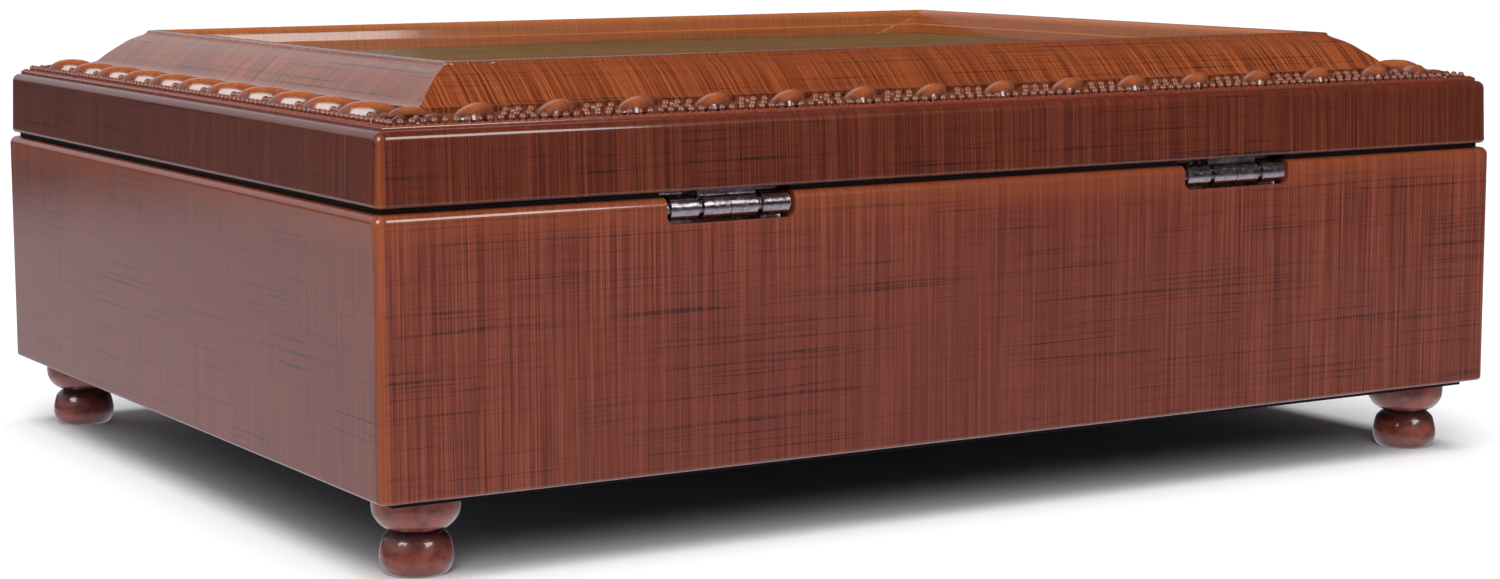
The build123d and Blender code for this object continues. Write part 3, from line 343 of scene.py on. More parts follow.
def metal(name, c1, c2, r1, r2, brush=(0.4, 0.4, 6.0), bump=0.12, spots=0.0):
    k = Mat(name, Metallic=1.0)
    n1 = k.noise(k.scaled(*brush), 1.0, 4.0, 0.6)
    n2 = k.noise(k.scaled(0.25, 0.25, 0.25), 1.0, 3.0, 0.6)
    col = k.mix(k.rng(n2, 0.35, 0.65), c1, c2)
    if spots:
        sp = k.noise(k.scaled(1.3, 1.3, 1.3), 1.0, 5.0, 0.7)
        col = k.mix(k.rng(sp, 0.58, 0.75, 0.0, spots), col, tuple(v * 0.35 for v in c1[:3]) + (1.0,))
    k.set("Base Color", col)
    k.set("Roughness", k.math("ADD", k.rng(n1, 0.3, 0.7, r1, r2), k.rng(n2, 0.4, 0.7, 0.0, 0.06)))
    k.bump(n1, bump, 0.03)
    return k.m


def fabric(name, dark, lightc, sheen, tint, fine=3.2, bump=0.5, nap=0.03, rough=0.95):
    """Velvet or felt: short pile that lies in soft patches, with a sheen at grazing angles."""
    k = Mat(name, Roughness=rough)
    k.b.inputs["Specular IOR Level"].default_value = 0.12
    k.b.inputs["Sheen Weight"].default_value = sheen
    k.b.inputs["Sheen Roughness"].default_value = 0.45
    k.b.inputs["Sheen Tint"].default_value = tint
    fibre = k.noise(k.scaled(fine, fine, fine), 1.0, 4.0, 0.75)
    lay = k.noise(k.scaled(nap, nap * 1.6, nap), 1.0, 4.0, 0.6, 1.5)
    col = k.ramp(fibre, (0.32, dark), (0.68, lightc))
    col = k.mix(k.rng(lay, 0.35, 0.65, 0.0, 0.55), col, k.mix(0.6, lightc, dark))
    k.set("Base Color", col)
    k.bump(k.math("ADD", fibre, k.math("MULTIPLY", lay, 0.6)), bump, 0.12)
    return k.m


def plywood():
    k = Mat("plywood", Roughness=0.6)
    k.b.inputs["Specular IOR Level"].default_value = 0.3
    g = k.noise(k.scaled(0.02, 0.5, 0.5), 1.0, 5.0, 0.65, 0.6)
    f = k.noise(k.scaled(0.12, 3.0, 3.0), 1.0, 3.0, 0.6)
    col = k.ramp(g, (0.3, lin(168, 128, 84)), (0.5, lin(196, 158, 110)), (0.7, lin(214, 180, 132)))
    col = k.mix(k.rng(f, 0.5, 0.72, 0.0, 0.35), col, lin(132, 92, 56))
    k.set("Base Color", col)
    k.bump(f, 0.25, 0.05)
    return k.m


def card(name, a, b):
    """Plain coloured card with a paper tooth."""
    k = Mat(name, Roughness=0.8)
    k.b.inputs["Specular IOR Level"].default_value = 0.25
    f = k.noise(k.scaled(2.2, 2.2, 2.2), 1.0, 5.0, 0.7)
    g = k.noise(k.scaled(0.03, 0.03, 0.03), 1.0, 2.0, 0.5)
    col = k.mix(k.rng(f, 0.35, 0.65), a, b)
    col = k.mix(k.rng(g, 0.35, 0.65, 0.0, 0.25), col, tuple(v * 0.7 for v in a[:3]) + (1.0,))
    k.set("Base Color", col)
    k.bump(f, 0.2, 0.04)
    return k.m


def glass(name, tint, rough=0.02, mirror_share=1.0, bend=0.0):
    """Clear sheet: light passes straight through with a slight tint, and the faces mirror by Fresnel, with a faint smear."""
    k = Mat(name)
    k.t.nodes.remove(k.b)
    smear = k.noise(k.scaled(0.05, 0.11, 0.05), 1.0, 4.0, 0.6, 1.0)
    clear = k.n("ShaderNodeBsdfTransparent")
    k.put(clear.inputs["Color"], k.mix(k.rng(smear, 0.4, 0.7), tint, tuple(v * 0.985 for v in tint[:3]) + (1.0,)))
    gloss = k.n("ShaderNodeBsdfAnisotropic")
    gloss.inputs["Color"].default_value = (0.95, 0.96, 0.96, 1.0)
    k.put(gloss.inputs["Roughness"], k.rng(smear, 0.45, 0.75, rough, rough + 0.06))
    fr = k.n("ShaderNodeFresnel")
    fr.inputs["IOR"].default_value = 1.47
    mx = k.n("ShaderNodeMixShader")
    geo = k.n("ShaderNodeNewGeometry")
    outside = k.math("SUBTRACT", mirror_share, k.math("MULTIPLY", geo.outputs["Backfacing"], mirror_share))
    k.put(mx.inputs[0], k.math("MULTIPLY", fr.outputs[0], outside))
    body = clear.outputs[0]
    if bend:
        # rays that are seen bend at the faces; lamps shine straight through
        refr = k.n("ShaderNodeBsdfRefraction")
        refr.inputs["IOR"].default_value = bend
        refr.inputs["Roughness"].default_value = 0.0
        refr.inputs["Color"].default_value = tint
        lpath = k.n("ShaderNodeLightPath")
        two = k.n("ShaderNodeMixShader")
        k.put(two.inputs[0], lpath.outputs["Is Shadow Ray"])
        k.put(two.inputs[1], refr.outputs[0])
        k.put(two.inputs[2], clear.outputs[0])
        body = two.outputs[0]
    k.put(mx.inputs[1], body)
    k.put(mx.inputs[2], gloss.outputs[0])
    k.put(k.out.inputs[0], mx.outputs[0])
    return k.m


def nylon():
    k = Mat("nylon_gear", Roughness=0.4)
    k.b.inputs["Subsurface Weight"].default_value = 0.15
    k.b.inputs["Subsurface Radius"].default_value = (0.001, 0.001, 0.0008)
    f = k.noise(k.scaled(0.8, 0.8, 0.8), 1.0, 3.0, 0.6)
    k.set("Base Color", k.mix(k.rng(f, 0.35, 0.65), lin(226, 222, 210), lin(206, 200, 184)))
    k.set("Roughness", k.rng(f, 0.3, 0.7, 0.34, 0.5))
    k.bump(f, 0.1, 0.03)
    return k.m


def mirror():
    k = Mat("mirror_glass", Metallic=1.0)
    s = k.noise(k.scaled(0.06, 0.06, 0.06), 1.0, 4.0, 0.6)
    k.set("Base Color", k.mix(k.rng(s, 0.4, 0.7), lin(236, 240, 240), lin(226, 231, 231)))
    k.set("Roughness", k.rng(s, 0.5, 0.8, 0.006, 0.02))
    return k.m


M = {
    "walnut_lacquer": base_wood,
    "walnut_lacquer_lid": lid_wood,
    "walnut_moulding": mould_wood,
    "divider_wood": inner_wood,
    "foot_lacquer": foot_material(),
    "trim_composition": trim_material(),
    "black_nickel": black_nickel(),
    "plywood": plywood(),
    "black_felt": fabric("black_felt", lin(10, 9, 10), lin(34, 32, 34), 0.25, lin(150, 145, 150), 2.4, 0.6, 0.08),
    "velvet": fabric("black_velvet", lin(16, 13, 15), lin(40, 34, 38), 0.55, lin(190, 175, 190), 3.4, 0.5, 0.035),
    "clear_acrylic": glass("clear_acrylic", (0.97, 0.98, 0.98, 1.0), 0.03),
    "picture_glass": glass("picture_glass", (0.95, 0.97, 0.95, 1.0), 0.03, 0.3, 1.47),
    "picture_card": card("picture_card", lin(108, 84, 56), lin(128, 101, 68)),
    "backing_board": card("backing_board", lin(128, 98, 66), lin(150, 118, 82)),
    "mirror_glass": mirror(),
    "brass_clip": metal("brass_clip", lin(214, 172, 92), lin(190, 146, 72), 0.18, 0.34, (0.5, 3.0, 0.5)),
    "bedplate_zinc": metal("bedplate_zinc", lin(176, 176, 172), lin(150, 151, 148), 0.34, 0.5, (0.8, 0.8, 0.8), 0.35, 0.25),
    "steel_screw": metal("steel_screw", lin(186, 184, 180), lin(160, 158, 154), 0.22, 0.36, (1.5, 1.5, 1.5)),
    "spring_steel_cover": metal("spring_steel_cover", lin(198, 196, 190), lin(172, 170, 166), 0.2, 0.38, (0.3, 5.0, 0.3), 0.12),
    "blued_steel": metal("blued_steel", lin(70, 78, 104), lin(52, 56, 74), 0.25, 0.4, (1.0, 1.0, 1.0)),
    "brass_key": metal("brass_key", lin(206, 164, 86), lin(176, 132, 62), 0.16, 0.32, (1.0, 1.0, 1.0), 0.1, 0.15),
    "brass_gear": metal("brass_gear", lin(212, 172, 96), lin(184, 142, 72), 0.22, 0.38, (1.2, 1.2, 1.2)),
    "brass_cylinder": metal("brass_cylinder", lin(220, 180, 100), lin(196, 152, 78), 0.14, 0.26, (5.0, 0.25, 0.25), 0.08),
    "comb_steel": metal("comb_steel", lin(186, 188, 190), lin(160, 162, 166), 0.2, 0.36, (0.3, 4.0, 0.3)),
    "nylon_gear": nylon(),
}
slot_of = {s["node"]: s["material_slot"] for s in frame["record"]["subparts"]}
for name, o in nodes.items():
    mat = M[slot_of[name]]
    if o.material_slots:
        for ms in o.material_slots:
            ms.material = mat
    else:
        o.data.materials.append(mat)


# ------------------------------------------------------------ mesh helpers
class Build:
    """Collects vertices in mm in the row frame and makes one mesh."""

    def __init__(self):
        self.v, self.f = [], []

    def grid(self, pts, close_u=False, close_v=False):
        """pts[i][j] are points; quads between neighbours"""
        nu, nv = len(pts), len(pts[0])
        start = len(self.v)
        for row in pts:
            self.v.extend(tuple(p) for p in row)
        for i in range(nu if close_u else nu - 1):
            for j in range(nv if close_v else nv - 1):
                a = start + i * nv + j
                b = start + i * nv + (j + 1) % nv
                c = start + ((i + 1) % nu) * nv + (j + 1) % nv
                d = start + ((i + 1) % nu) * nv + j
                self.f.append((a, b, c, d))
        return start

    def fan(self, ring, centre):
        s = len(self.v)
        self.v.extend(tuple(p) for p in ring)
        self.v.append(tuple(centre))
        n = len(ring)
        for i in range(n):
            self.f.append((s + i, s + (i + 1) % n, s + n))

    def blob(self, centre, r, e=None, flat=1.0, nu=8, nv=5, low=-0.35):
        """a bead: a ball cut just under its middle, sitting on the ground; e are its three axes"""
        ex, ey, ez = e or (Vector((1, 0, 0)), Vector((0, 1, 0)), Vector((0, 0, 1)))
        rx, ry, rz = r if isinstance(r, tuple) else (r, r, r * flat)
        rows = []
        t0 = math.asin(low)
        for i in range(nv):
            t = t0 + (math.pi / 2 - t0) * i / nv
            rows.append(
                [
                    centre + ex * (rx * math.cos(t) * math.cos(a)) + ey * (ry * math.cos(t) * math.sin(a)) + ez * (rz * math.sin(t))
                    for a in (2 * math.pi * j / nu for j in range(nu))
                ]
            )
        s = self.grid(rows, close_v=True)
        top = len(self.v)
        self.v.append(tuple(centre + ez * rz))
        last = s + (nv - 1) * nu
        for j in range(nu):
            self.f.append((last + j, last + (j + 1) % nu, top))
        bottom = len(self.v)
        self.v.append(tuple(centre + ez * (rz * low)))
        for j in range(nu):
            self.f.append((s + (j + 1) % nu, s + j, bottom))

    def make(self, name, mat, smooth=True, angle=None):
        me = bpy.data.meshes.new(name)
        me.from_pydata([(x * MM, y * MM, z * MM) for x, y, z in self.v], [], self.f)
        me.validate()
        bm = bmesh.new()
        bm.from_mesh(me)
        bmesh.ops.remove_doubles(bm, verts=bm.verts, dist=1e-7)
        bmesh.ops.recalc_face_normals(bm, faces=bm.faces)
        if smooth:
            for f in bm.faces:
                f.smooth = True
        if angle is not None:
            for e in bm.edges:
                if len(e.link_faces) == 2 and e.calc_face_angle(0.0) > math.radians(angle):
                    e.smooth = False
        bm.to_mesh(me)
        bm.free()
        me.materials.append(mat)
        o = bpy.data.objects.new(name, me)
        scene.collection.objects.link(o)
        return o


# ------------------------------------------------------------ beaded trim
# rails go round counter-clockwise seen from above; s runs along a rail from its first corner, d inwards
RAILS = (
    (Vector((HX, HY, 0)), Vector((-1, 0, 0)), Vector((0, -1, 0)), 2 * HX),
    (Vector((-HX, HY, 0)), Vector((0, -1, 0)), Vector((1, 0, 0)), 2 * HY),
    (Vector((-HX, -HY, 0)), Vector((1, 0, 0)), Vector((0, 1, 0)), 2 * HX),
    (Vector((HX, -HY, 0)), Vector((0, 1, 0)), Vector((-1, 0, 0)), 2 * HY),
)
D0, D1 = HX - trim_hi.x, HX - trim_hi.x + 9.7
Z0 = Z_LEDGE
UP = Vector((0, 0, 1))


def at(rail, s, d, z):
    c, e1, e2, _ = rail
    return c + e1 * s + e2 * d + UP * z


trim = Build()
beads = Build()
# ground strip: mitred ring whose section has a raised outer lip and a soft inner roll
section = [(D0 + 0.05, Z0 + 0.0), (D0, Z0 + 0.35), (D0 + 0.18, Z0 + 0.62), (D0 + 0.5, Z0 + 0.7), (D0 + 0.85, Z0 + 0.52),
           (D0 + 1.2, Z0 + 0.48), (D0 + 3.0, Z0 + 0.85), (D0 + 5.0, Z0 + 1.25), (D0 + 7.0, Z0 + 1.5), (D1 - 1.4, Z0 + 1.45), (D1 - 0.8, Z0 + 1.3),
           (D1 - 0.3, Z0 + 0.9), (D1, Z0 + 0.4), (D1, Z0 + 0.0)]
ring = []
for r in RAILS:
    ring.append([at(r, d, d, z) for d, z in section])
trim.grid(ring, close_u=True)
trim.grid([[ring[i][-1], ring[i][0]] for i in range(4)], close_u=True)


def lobe(frame3, half, width, height, z, bend=1.0, rim=True, nu=15, nv=9):
    """A smooth slanted pillow with its ridge to one side and a raised rim along the other.
    frame3 = (centre, along, across); it runs from -half to half along."""
    c, a, b = frame3
    rows, edge = [], []
    for i in range(nu):
        u = -1 + 2 * i / (nu - 1)
        w = width * max(0.0, 1 - abs(u) ** 2.8) ** 0.45 * (1.0 - 0.12 * u)
        mid = bend * math.sin(u * math.pi * 0.5) * 0.55 - bend * 0.35 * u
        hgt = height * max(0.0, 1 - abs(u) ** 2.4) ** 0.62
        row = []
        for j in range(nv):
            v = -1 + 2 * j / (nv - 1)
            vv = v + 0.22 * (1 - v * v)
            h = hgt * max(0.0, 1 - abs(vv if abs(vv) < 1 else 1) ** 2.2) ** 0.5
            row.append(c + a * (u * half) + b * (mid + v * w) + UP * (z + h))
        rows.append(row)
        edge.append(c + a * (u * half * 1.02) + b * (mid - w - 0.12) + UP * (z + 0.35 + hgt * 0.38))
    trim.grid(rows)
    if rim:
        # a thin raised line along the trailing side
        n = len(edge)
        tube = []
        for i in range(n):
            t = (edge[min(i + 1, n - 1)] - edge[max(i - 1, 0)]).normalized()
            side = t.cross(UP).normalized()
            up = side.cross(t)
            rr = 0.24 if 0 < i < n - 1 else 0.12
            tube.append([edge[i] + side * (rr * math.cos(q)) + up * (rr * math.sin(q)) for q in (2 * math.pi * m / 6 for m in range(6))])
        trim.grid(tube, close_v=True)
        trim.fan(list(reversed(tube[0])), edge[0])
        trim.fan(tube[-1], edge[-1])


long_lobes = [21.8 + 13.08 * i for i in range(14)]
short_lobes = [17.4 + 13.02 * i for i in range(11)]
BEAD = 0.6
for r in RAILS:
    length = r[3]
    spots = long_lobes if length > 180 else short_lobes
    spots = [s + (length - (spots[0] + spots[-1])) / 2 - 0.9 for s in spots]
    for i, s in enumerate(spots):
        a = (r[1] * 0.80 + r[2] * 0.60).normalized()
        b = UP.cross(a)
        lobe((at(r, s, D0 + 5.3, 0), a, b), 4.9, 2.45, 2.25, Z0 + 0.9, rim=False, nu=21, nv=13)
        nxt = spots[i + 1] if i + 1 < len(spots) else s + 13.05
        # two rows of three beads fill the gap to the next lobe, following its slant
        for row in range(2):
            for k in range(3):
                off = (nxt - s) / 2 + (k - 1) * 2.0 + (0.55 if row else -0.75)
                if s + off > length - 14.5:
                    continue
                d = D0 + (3.65 if row == 0 else 5.6)
                beads.blob(at(r, s + off, d, Z0 + (1.3 if row == 0 else 1.7)), BEAD, nu=12, nv=6, low=-0.8)
        # small scroll leaf on the inner side of the gap
        trim.blob(at(r, s + (nxt - s) / 2 + 0.9, D0 + 7.7, Z0 + 1.45), (2.2, 0.6, 0.5), (r[1], r[2], UP), nu=10, nv=4)
    # outer bead row and the twisted line outside it
    n = int(round((length - 2 * (D0 + 1.75)) / 1.72))
    step = (length - 2 * (D0 + 1.75)) / n
    for k in range(n):
        s = D0 + 1.75 + step * (k + (0 if k else 0))
        beads.blob(at(r, s, D0 + 1.7, Z0 + 0.98), 0.58, nu=12, nv=6, low=-0.8)
    n = int(round((length - 2 * D0) / 1.05))
    for k in range(n):
        s = D0 + 0.5 + (length - 2 * D0 - 1.0) * (k + 0.5) / n
        t = (r[1] * 0.8 + r[2] * 0.6).normalized()
        trim.blob(at(r, s, D0 + 0.5, Z0 + 0.52), (0.52, 0.26, 0.34), (t, UP.cross(t), UP), nu=6, nv=3, low=-0.2)
# corner fans: petals spread from the mitre, a lobe over them
for i, r in enumerate(RAILS):
    prev = RAILS[i - 1]
    c = at(r, D0 + 8.3, D0 + 8.3, 0)
    out = (-(r[1] + r[2])).normalized()
    for k in range(-3, 4):
        ang = k * math.radians(27)
        dirn = Matrix.Rotation(ang, 3, "Z") @ out
        reach = 8.0 if abs(k) < 2 else (6.6 if abs(k) == 2 else 5.6)
        root, tip = 2.0, reach
        m = (root + tip) / 2
        trim.blob(c + dirn * m + UP * (Z0 + 0.62), ((tip - root) / 2, 0.92, 1.15), (dirn, UP.cross(dirn), UP), nu=12, nv=5)
    a = Matrix.Rotation(math.radians(20), 3, "Z") @ (r[1] - r[2]).normalized()
    lobe((c + out * 1.2, a, UP.cross(a)), 3.6, 2.0, 2.2, Z0 + 0.55, bend=0.6)
trim_piece = trim.make("beaded_trim_detail", M["trim_composition"], angle=50)
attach(trim_piece, "lid")
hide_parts("beaded_trim")
bead_piece = beads.make("beaded_trim_beads", trim_material("trim_composition_beads", True))
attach(bead_piece, "lid")


# ------------------------------------------------------------ camera, floor and light
cam_data = bpy.data.cameras.new("camera")
cam_data.lens = 71.95
cam_data.sensor_width = 36.0
cam_data.clip_start = 0.01
cam_data.clip_end = 50.0
cam = bpy.data.objects.new("camera", cam_data)
scene.collection.objects.link(cam)
yaw, pitch, roll = math.radians(31.06), math.radians(7.52), math.radians(-0.14)
look = Vector((-math.sin(yaw) * math.cos(pitch), -math.cos(yaw) * math.cos(pitch), -math.sin(pitch)))
rot = look.to_track_quat("-Z", "Y").to_matrix() @ Matrix.Rotation(roll, 3, "Z")
cam.matrix_world = Matrix.Translation(Vector((0.2717, 0.4590, 0.0964))) @ rot.to_4x4()
scene.camera = cam

fl = Build()
fl.grid([[Vector((x, y, -0.02)) for y in (-9000, 9000)] for x in (-9000, 9000)])
fm = Mat("floor_white", Roughness=0.7)
fm.b.inputs["Specular IOR Level"].default_value = 0.1
fn = fm.noise(fm.scaled(0.01, 0.01, 0.01), 1.0, 2.0, 0.5)
fm.set("Base Color", fm.mix(fm.rng(fn, 0.4, 0.6), (0.93, 0.93, 0.95, 1.0), (0.95, 0.95, 0.96, 1.0)))
back = fm.n("ShaderNodeNewGeometry")
through = fm.n("ShaderNodeBsdfTransparent")
fmix = fm.n("ShaderNodeMixShader")
fm.put(fmix.inputs[0], back.outputs["Backfacing"])
fm.put(fmix.inputs[1], fm.b.outputs[0])
fm.put(fmix.inputs[2], through.outputs[0])
fm.put(fm.out.inputs[0], fmix.outputs[0])
floor = fl.make("floor", fm.m, smooth=False)
if floor.data.polygons[0].normal.z < 0:
    floor.data.flip_normals()
floor.visible_glossy = False

world = bpy.data.worlds.new("studio")
scene.world = world
world.use_nodes = True
wt = world.node_tree
wt.nodes.clear()


def wn(kind, **props):
    nd = wt.nodes.new(kind)
    for k2, v2 in props.items():
        setattr(nd, k2, v2)
    return nd


def wput(sock, v):
    if isinstance(v, bpy.types.NodeSocket):
        wt.links.new(v, sock)
    else:
        sock.default_value = v


def wmath(op, a, b=0.0):
    nd = wn("ShaderNodeMath", operation=op)
    wput(nd.inputs[0], a)
    wput(nd.inputs[1], b)
    return nd.outputs[0]


def wrng(v, a, b, lo=0.0, hi=1.0):
    nd = wn("ShaderNodeMapRange")
    nd.interpolation_type = "SMOOTHSTEP"
    wput(nd.inputs["Value"], v)
    for k2, x2 in (("From Min", a), ("From Max", b), ("To Min", lo), ("To Max", hi)):
        nd.inputs[k2].default_value = x2
    return nd.outputs[0]


wtc = wn("ShaderNodeTexCoord")
wsep = wn("ShaderNodeSeparateXYZ")
wt.links.new(wtc.outputs["Generated"], wsep.inputs[0])
dx, dy, dz = wsep.outputs
# a white backdrop behind the object and a pale table below; elsewhere the world stays dim
a_back = wmath("ADD", wmath("MULTIPLY", dx, 0.45), wmath("MULTIPLY", dy, -0.89))
low_part = wmath("MULTIPLY", wrng(dz, -0.50, -0.25), wrng(dz, -0.082, -0.112))
high_part = wmath("MULTIPLY", wrng(dz, 0.05, 0.14), wrng(dz, 0.85, 0.62))
backdrop = wmath("MULTIPLY", wrng(a_back, 0.28, 0.72), wmath("ADD", wmath("MULTIPLY", low_part, 0.52), wmath("MULTIPLY", high_part, 0.53)))
table_light = wmath("ADD", wrng(wmath("MULTIPLY", dz, -1.0), 0.085, 0.13, 0.0, 0.22), wrng(wmath("MULTIPLY", dz, -1.0), 0.16, 0.5, 0.0, 0.6))
level = wmath("MAXIMUM", wmath("MAXIMUM", backdrop, table_light), 0.06)
bgc = wn("ShaderNodeBackground")
bgc.inputs["Color"].default_value = (0.98, 0.94, 1.0, 1.0)
wt.links.new(level, bgc.inputs["Strength"])
# the studio is seen as plain white; the levels above are only for what the object mirrors and catches
white = wn("ShaderNodeBackground")
white.inputs["Color"].default_value = (1.0, 1.0, 1.0, 1.0)
white.inputs["Strength"].default_value = 1.0
path = wn("ShaderNodeLightPath")
seen = wn("ShaderNodeMixShader")
wt.links.new(path.outputs["Is Camera Ray"], seen.inputs[0])
wt.links.new(bgc.outputs[0], seen.inputs[1])
wt.links.new(white.outputs[0], seen.inputs[2])
wo = wn("ShaderNodeOutputWorld")
wt.links.new(seen.outputs[0], wo.inputs[0])


def area(name, loc, target, size, power, colour=(1, 1, 1)):
    ld = bpy.data.lights.new(name, "AREA")
    ld.shape = "RECTANGLE"
    ld.size, ld.size_y = size
    ld.energy = power
    ld.color = colour
    o = bpy.data.objects.new(name, ld)
    o.matrix_world = Matrix.Translation(Vector(loc)) @ (Vector(target) - Vector(loc)).to_track_quat("-Z", "Y").to_matrix().to_4x4()
    scene.collection.objects.link(o)
    return o


key = area("softbox_key", (0.72, 1.12, 0.92), (0, 0, 0.03), (0.85, 0.85), 10.5)
key.visible_glossy = False


def sun(name, direction, angle, strength):
    """A very broad, even light from a direction; it isn't mirrored in the lacquer."""
    ld = bpy.data.lights.new(name, "SUN")
    ld.angle = math.radians(angle)
    ld.energy = strength
    o = bpy.data.objects.new(name, ld)
    o.matrix_world = (-Vector(direction)).to_track_quat("-Z", "Y").to_matrix().to_4x4()
    o.visible_glossy = False
    scene.collection.objects.link(o)
    return o


sun("sky_panel", (0.06, 0.10, 1.0), 58, 3.3)
# two lamps left and right of the camera: they only make the pairs of glints on feet, beads and hinges
for side, place in (("left", (-0.19, 0.84, 0.52)), ("right", (0.82, 0.25, 0.52))):
    lamp = area("lamp_" + side, place, (0, 0, 0.03), (0.42, 0.42), 4.6)
    lamp.visible_diffuse = False

scene.view_settings.view_transform = "Standard"

# ------------------------------------------------------------ soft pieces
def copied(node, name, width, segments=3, angle=35):
    """A new mesh on a soft CAD solid's outline, with rolled edges"""
    me = nodes[node].data.copy()
    me.name = name
    bm = bmesh.new()
    bm.from_mesh(me)
    bmesh.ops.remove_doubles(bm, verts=bm.verts, dist=1e-6)
    bmesh.ops.dissolve_limit(bm, angle_limit=math.radians(1.0), verts=bm.verts, edges=bm.edges)
    sharp = [e for e in bm.edges if len(e.link_faces) == 2 and e.calc_face_angle(0.0) > math.radians(angle)]
    bmesh.ops.bevel(bm, geom=sharp, offset=width * MM, segments=segments, profile=0.5, affect="EDGES", clamp_overlap=True)
    bmesh.ops.triangulate(bm, faces=[f for f in bm.faces if len(f.verts) > 4])
    for f in bm.faces:
        f.smooth = True
    for e in bm.edges:
        e.smooth = len(e.link_faces) != 2 or e.calc_face_angle(0.0) < math.radians(40)
    bmesh.ops.recalc_face_normals(bm, faces=bm.faces)
    bm.to_mesh(me)
    bm.free()
    me.materials.clear()
    me.materials.append(M[slot_of[node]])
    o = bpy.data.objects.new(name, me)
    scene.collection.objects.link(o)
    return o


def settle(o, body, node):
    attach(o, body)
    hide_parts(node)
    return o


felt_sheet = settle(copied("felt_base", "felt_base_sheet", 0.28), "base", "felt_base")
settle(copied("rim_felt", "rim_felt_strip", 0.2, 2), "base", "rim_felt")
settle(copied("back_tray_lining", "back_tray_velvet", 0.5), "base", "back_tray_lining")
settle(copied("ring_tray_lining", "ring_tray_velvet", 0.5), "base", "ring_tray_lining")


def nz(x, y, z, s):
    return mnoise.noise(Vector((x * s, y * s, z)))


# padded floor of the long compartment: crowned, with pulled-in sides, a stitched border and tufts
plo, phi = (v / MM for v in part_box("floor_pad"))
pad = Build()
NU, NV = 150, 62
pcx, pcy, phx, phy = (plo.x + phi.x) / 2, (plo.y + phi.y) / 2, (phi.x - plo.x) / 2, (phi.y - plo.y) / 2
tufts = [(pcx + i * 31.0, pcy + j * 19.0) for i in range(-2, 3) for j in (-1, 1)]


def warp(t):
    return math.sin(t * math.pi / 2) * 0.35 + t * 0.65


def pad_point(u, v, top):
    wu, wv = warp(u), warp(v)
    x = pcx + phx * wu * (1 - 0.008 * (1 - wv * wv))
    y = pcy + phy * wv * (1 - 0.016 * (1 - wu * wu))
    ex, ey = phx * (1 - abs(wu)), phy * (1 - abs(wv))
    d = max(0.0, min(ex, ey))
    R = 2.6
    round_ = math.sqrt(max(0.0, 1 - (1 - min(1.0, d / R)) ** 2))
    if not top:
        return Vector((x, y, plo.z + 0.9 * (1 - round_)))
    mid = plo.z + 0.9
    h = (phi.z - mid) * round_
    inside = max(0.0, min(1.0, (d - R) / 12))
    h += 0.75 * inside * (2 - inside)
    border = math.exp(-(((d - 6.0) / 0.9) ** 2))
    h -= 0.75 * border
    for tx, ty in tufts:
        q = math.hypot(x - tx, y - ty)
        h -= 1.15 * math.exp(-((q / 3.2) ** 2)) + 0.25 * math.exp(-((q / 8.0) ** 2)) * (1 + 0.5 * math.cos(6 * math.atan2(y - ty, x - tx)))
    h += 0.16 * nz(x, y, 0.3, 0.09) * round_ + 0.06 * nz(x, y, 2.3, 0.35) * round_
    return Vector((x, y, mid + h))


top = [[pad_point(-1 + 2 * i / NU, -1 + 2 * j / NV, True) for j in range(NV + 1)] for i in range(NU + 1)]
bot = [[pad_point(-1 + 2 * i / NU, -1 + 2 * j / NV, False) for j in range(0, NV + 1)] for i in range(0, NU + 1)]
for i in range(NU + 1):
    for j in range(NV + 1):
        if i in (0, NU) or j in (0, NV):
            bot[i][j] = top[i][j]
pad.grid(top)
pad.grid(bot)
floor_cushion = settle(pad.make("floor_cushion", M["velvet"]), "base", "floor_pad")
# piping round the cushion's edge and covered buttons in the tufts
pipe = Build()
loop = []
for k in range(240):
    t = 2 * math.pi * k / 240
    c, s = math.cos(t), math.sin(t)
    u = math.copysign(min(1.0, abs(c) ** 0.18), c)
    v = math.copysign(min(1.0, abs(s) ** 0.18), s)
    x = pcx + (phx - 0.15) * u * (1 - 0.008 * (1 - v * v))
    y = pcy + (phy - 0.15) * v * (1 - 0.016 * (1 - u * u))
    loop.append(Vector((x, y, plo.z + 0.95)))
rows = []
for k in range(240):
    t = (loop[(k + 1) % 240] - loop[k - 1]).normalized()
    side = t.cross(UP).normalized()
    rows.append([loop[k] + side * (0.5 * math.cos(q)) + UP * (0.5 * math.sin(q)) for q in (2 * math.pi * m / 8 for m in range(8))])
pipe.grid(rows, close_u=True, close_v=True)
for tx, ty in tufts:
    z = pad_point(0, 0, True).z
    pipe.blob(Vector((tx, ty, phi.z - 0.85)), (1.7, 1.7, 0.75), nu=14, nv=5, low=-0.5)
piping = pipe.make("cushion_piping", M["velvet"])
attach(piping, "base")

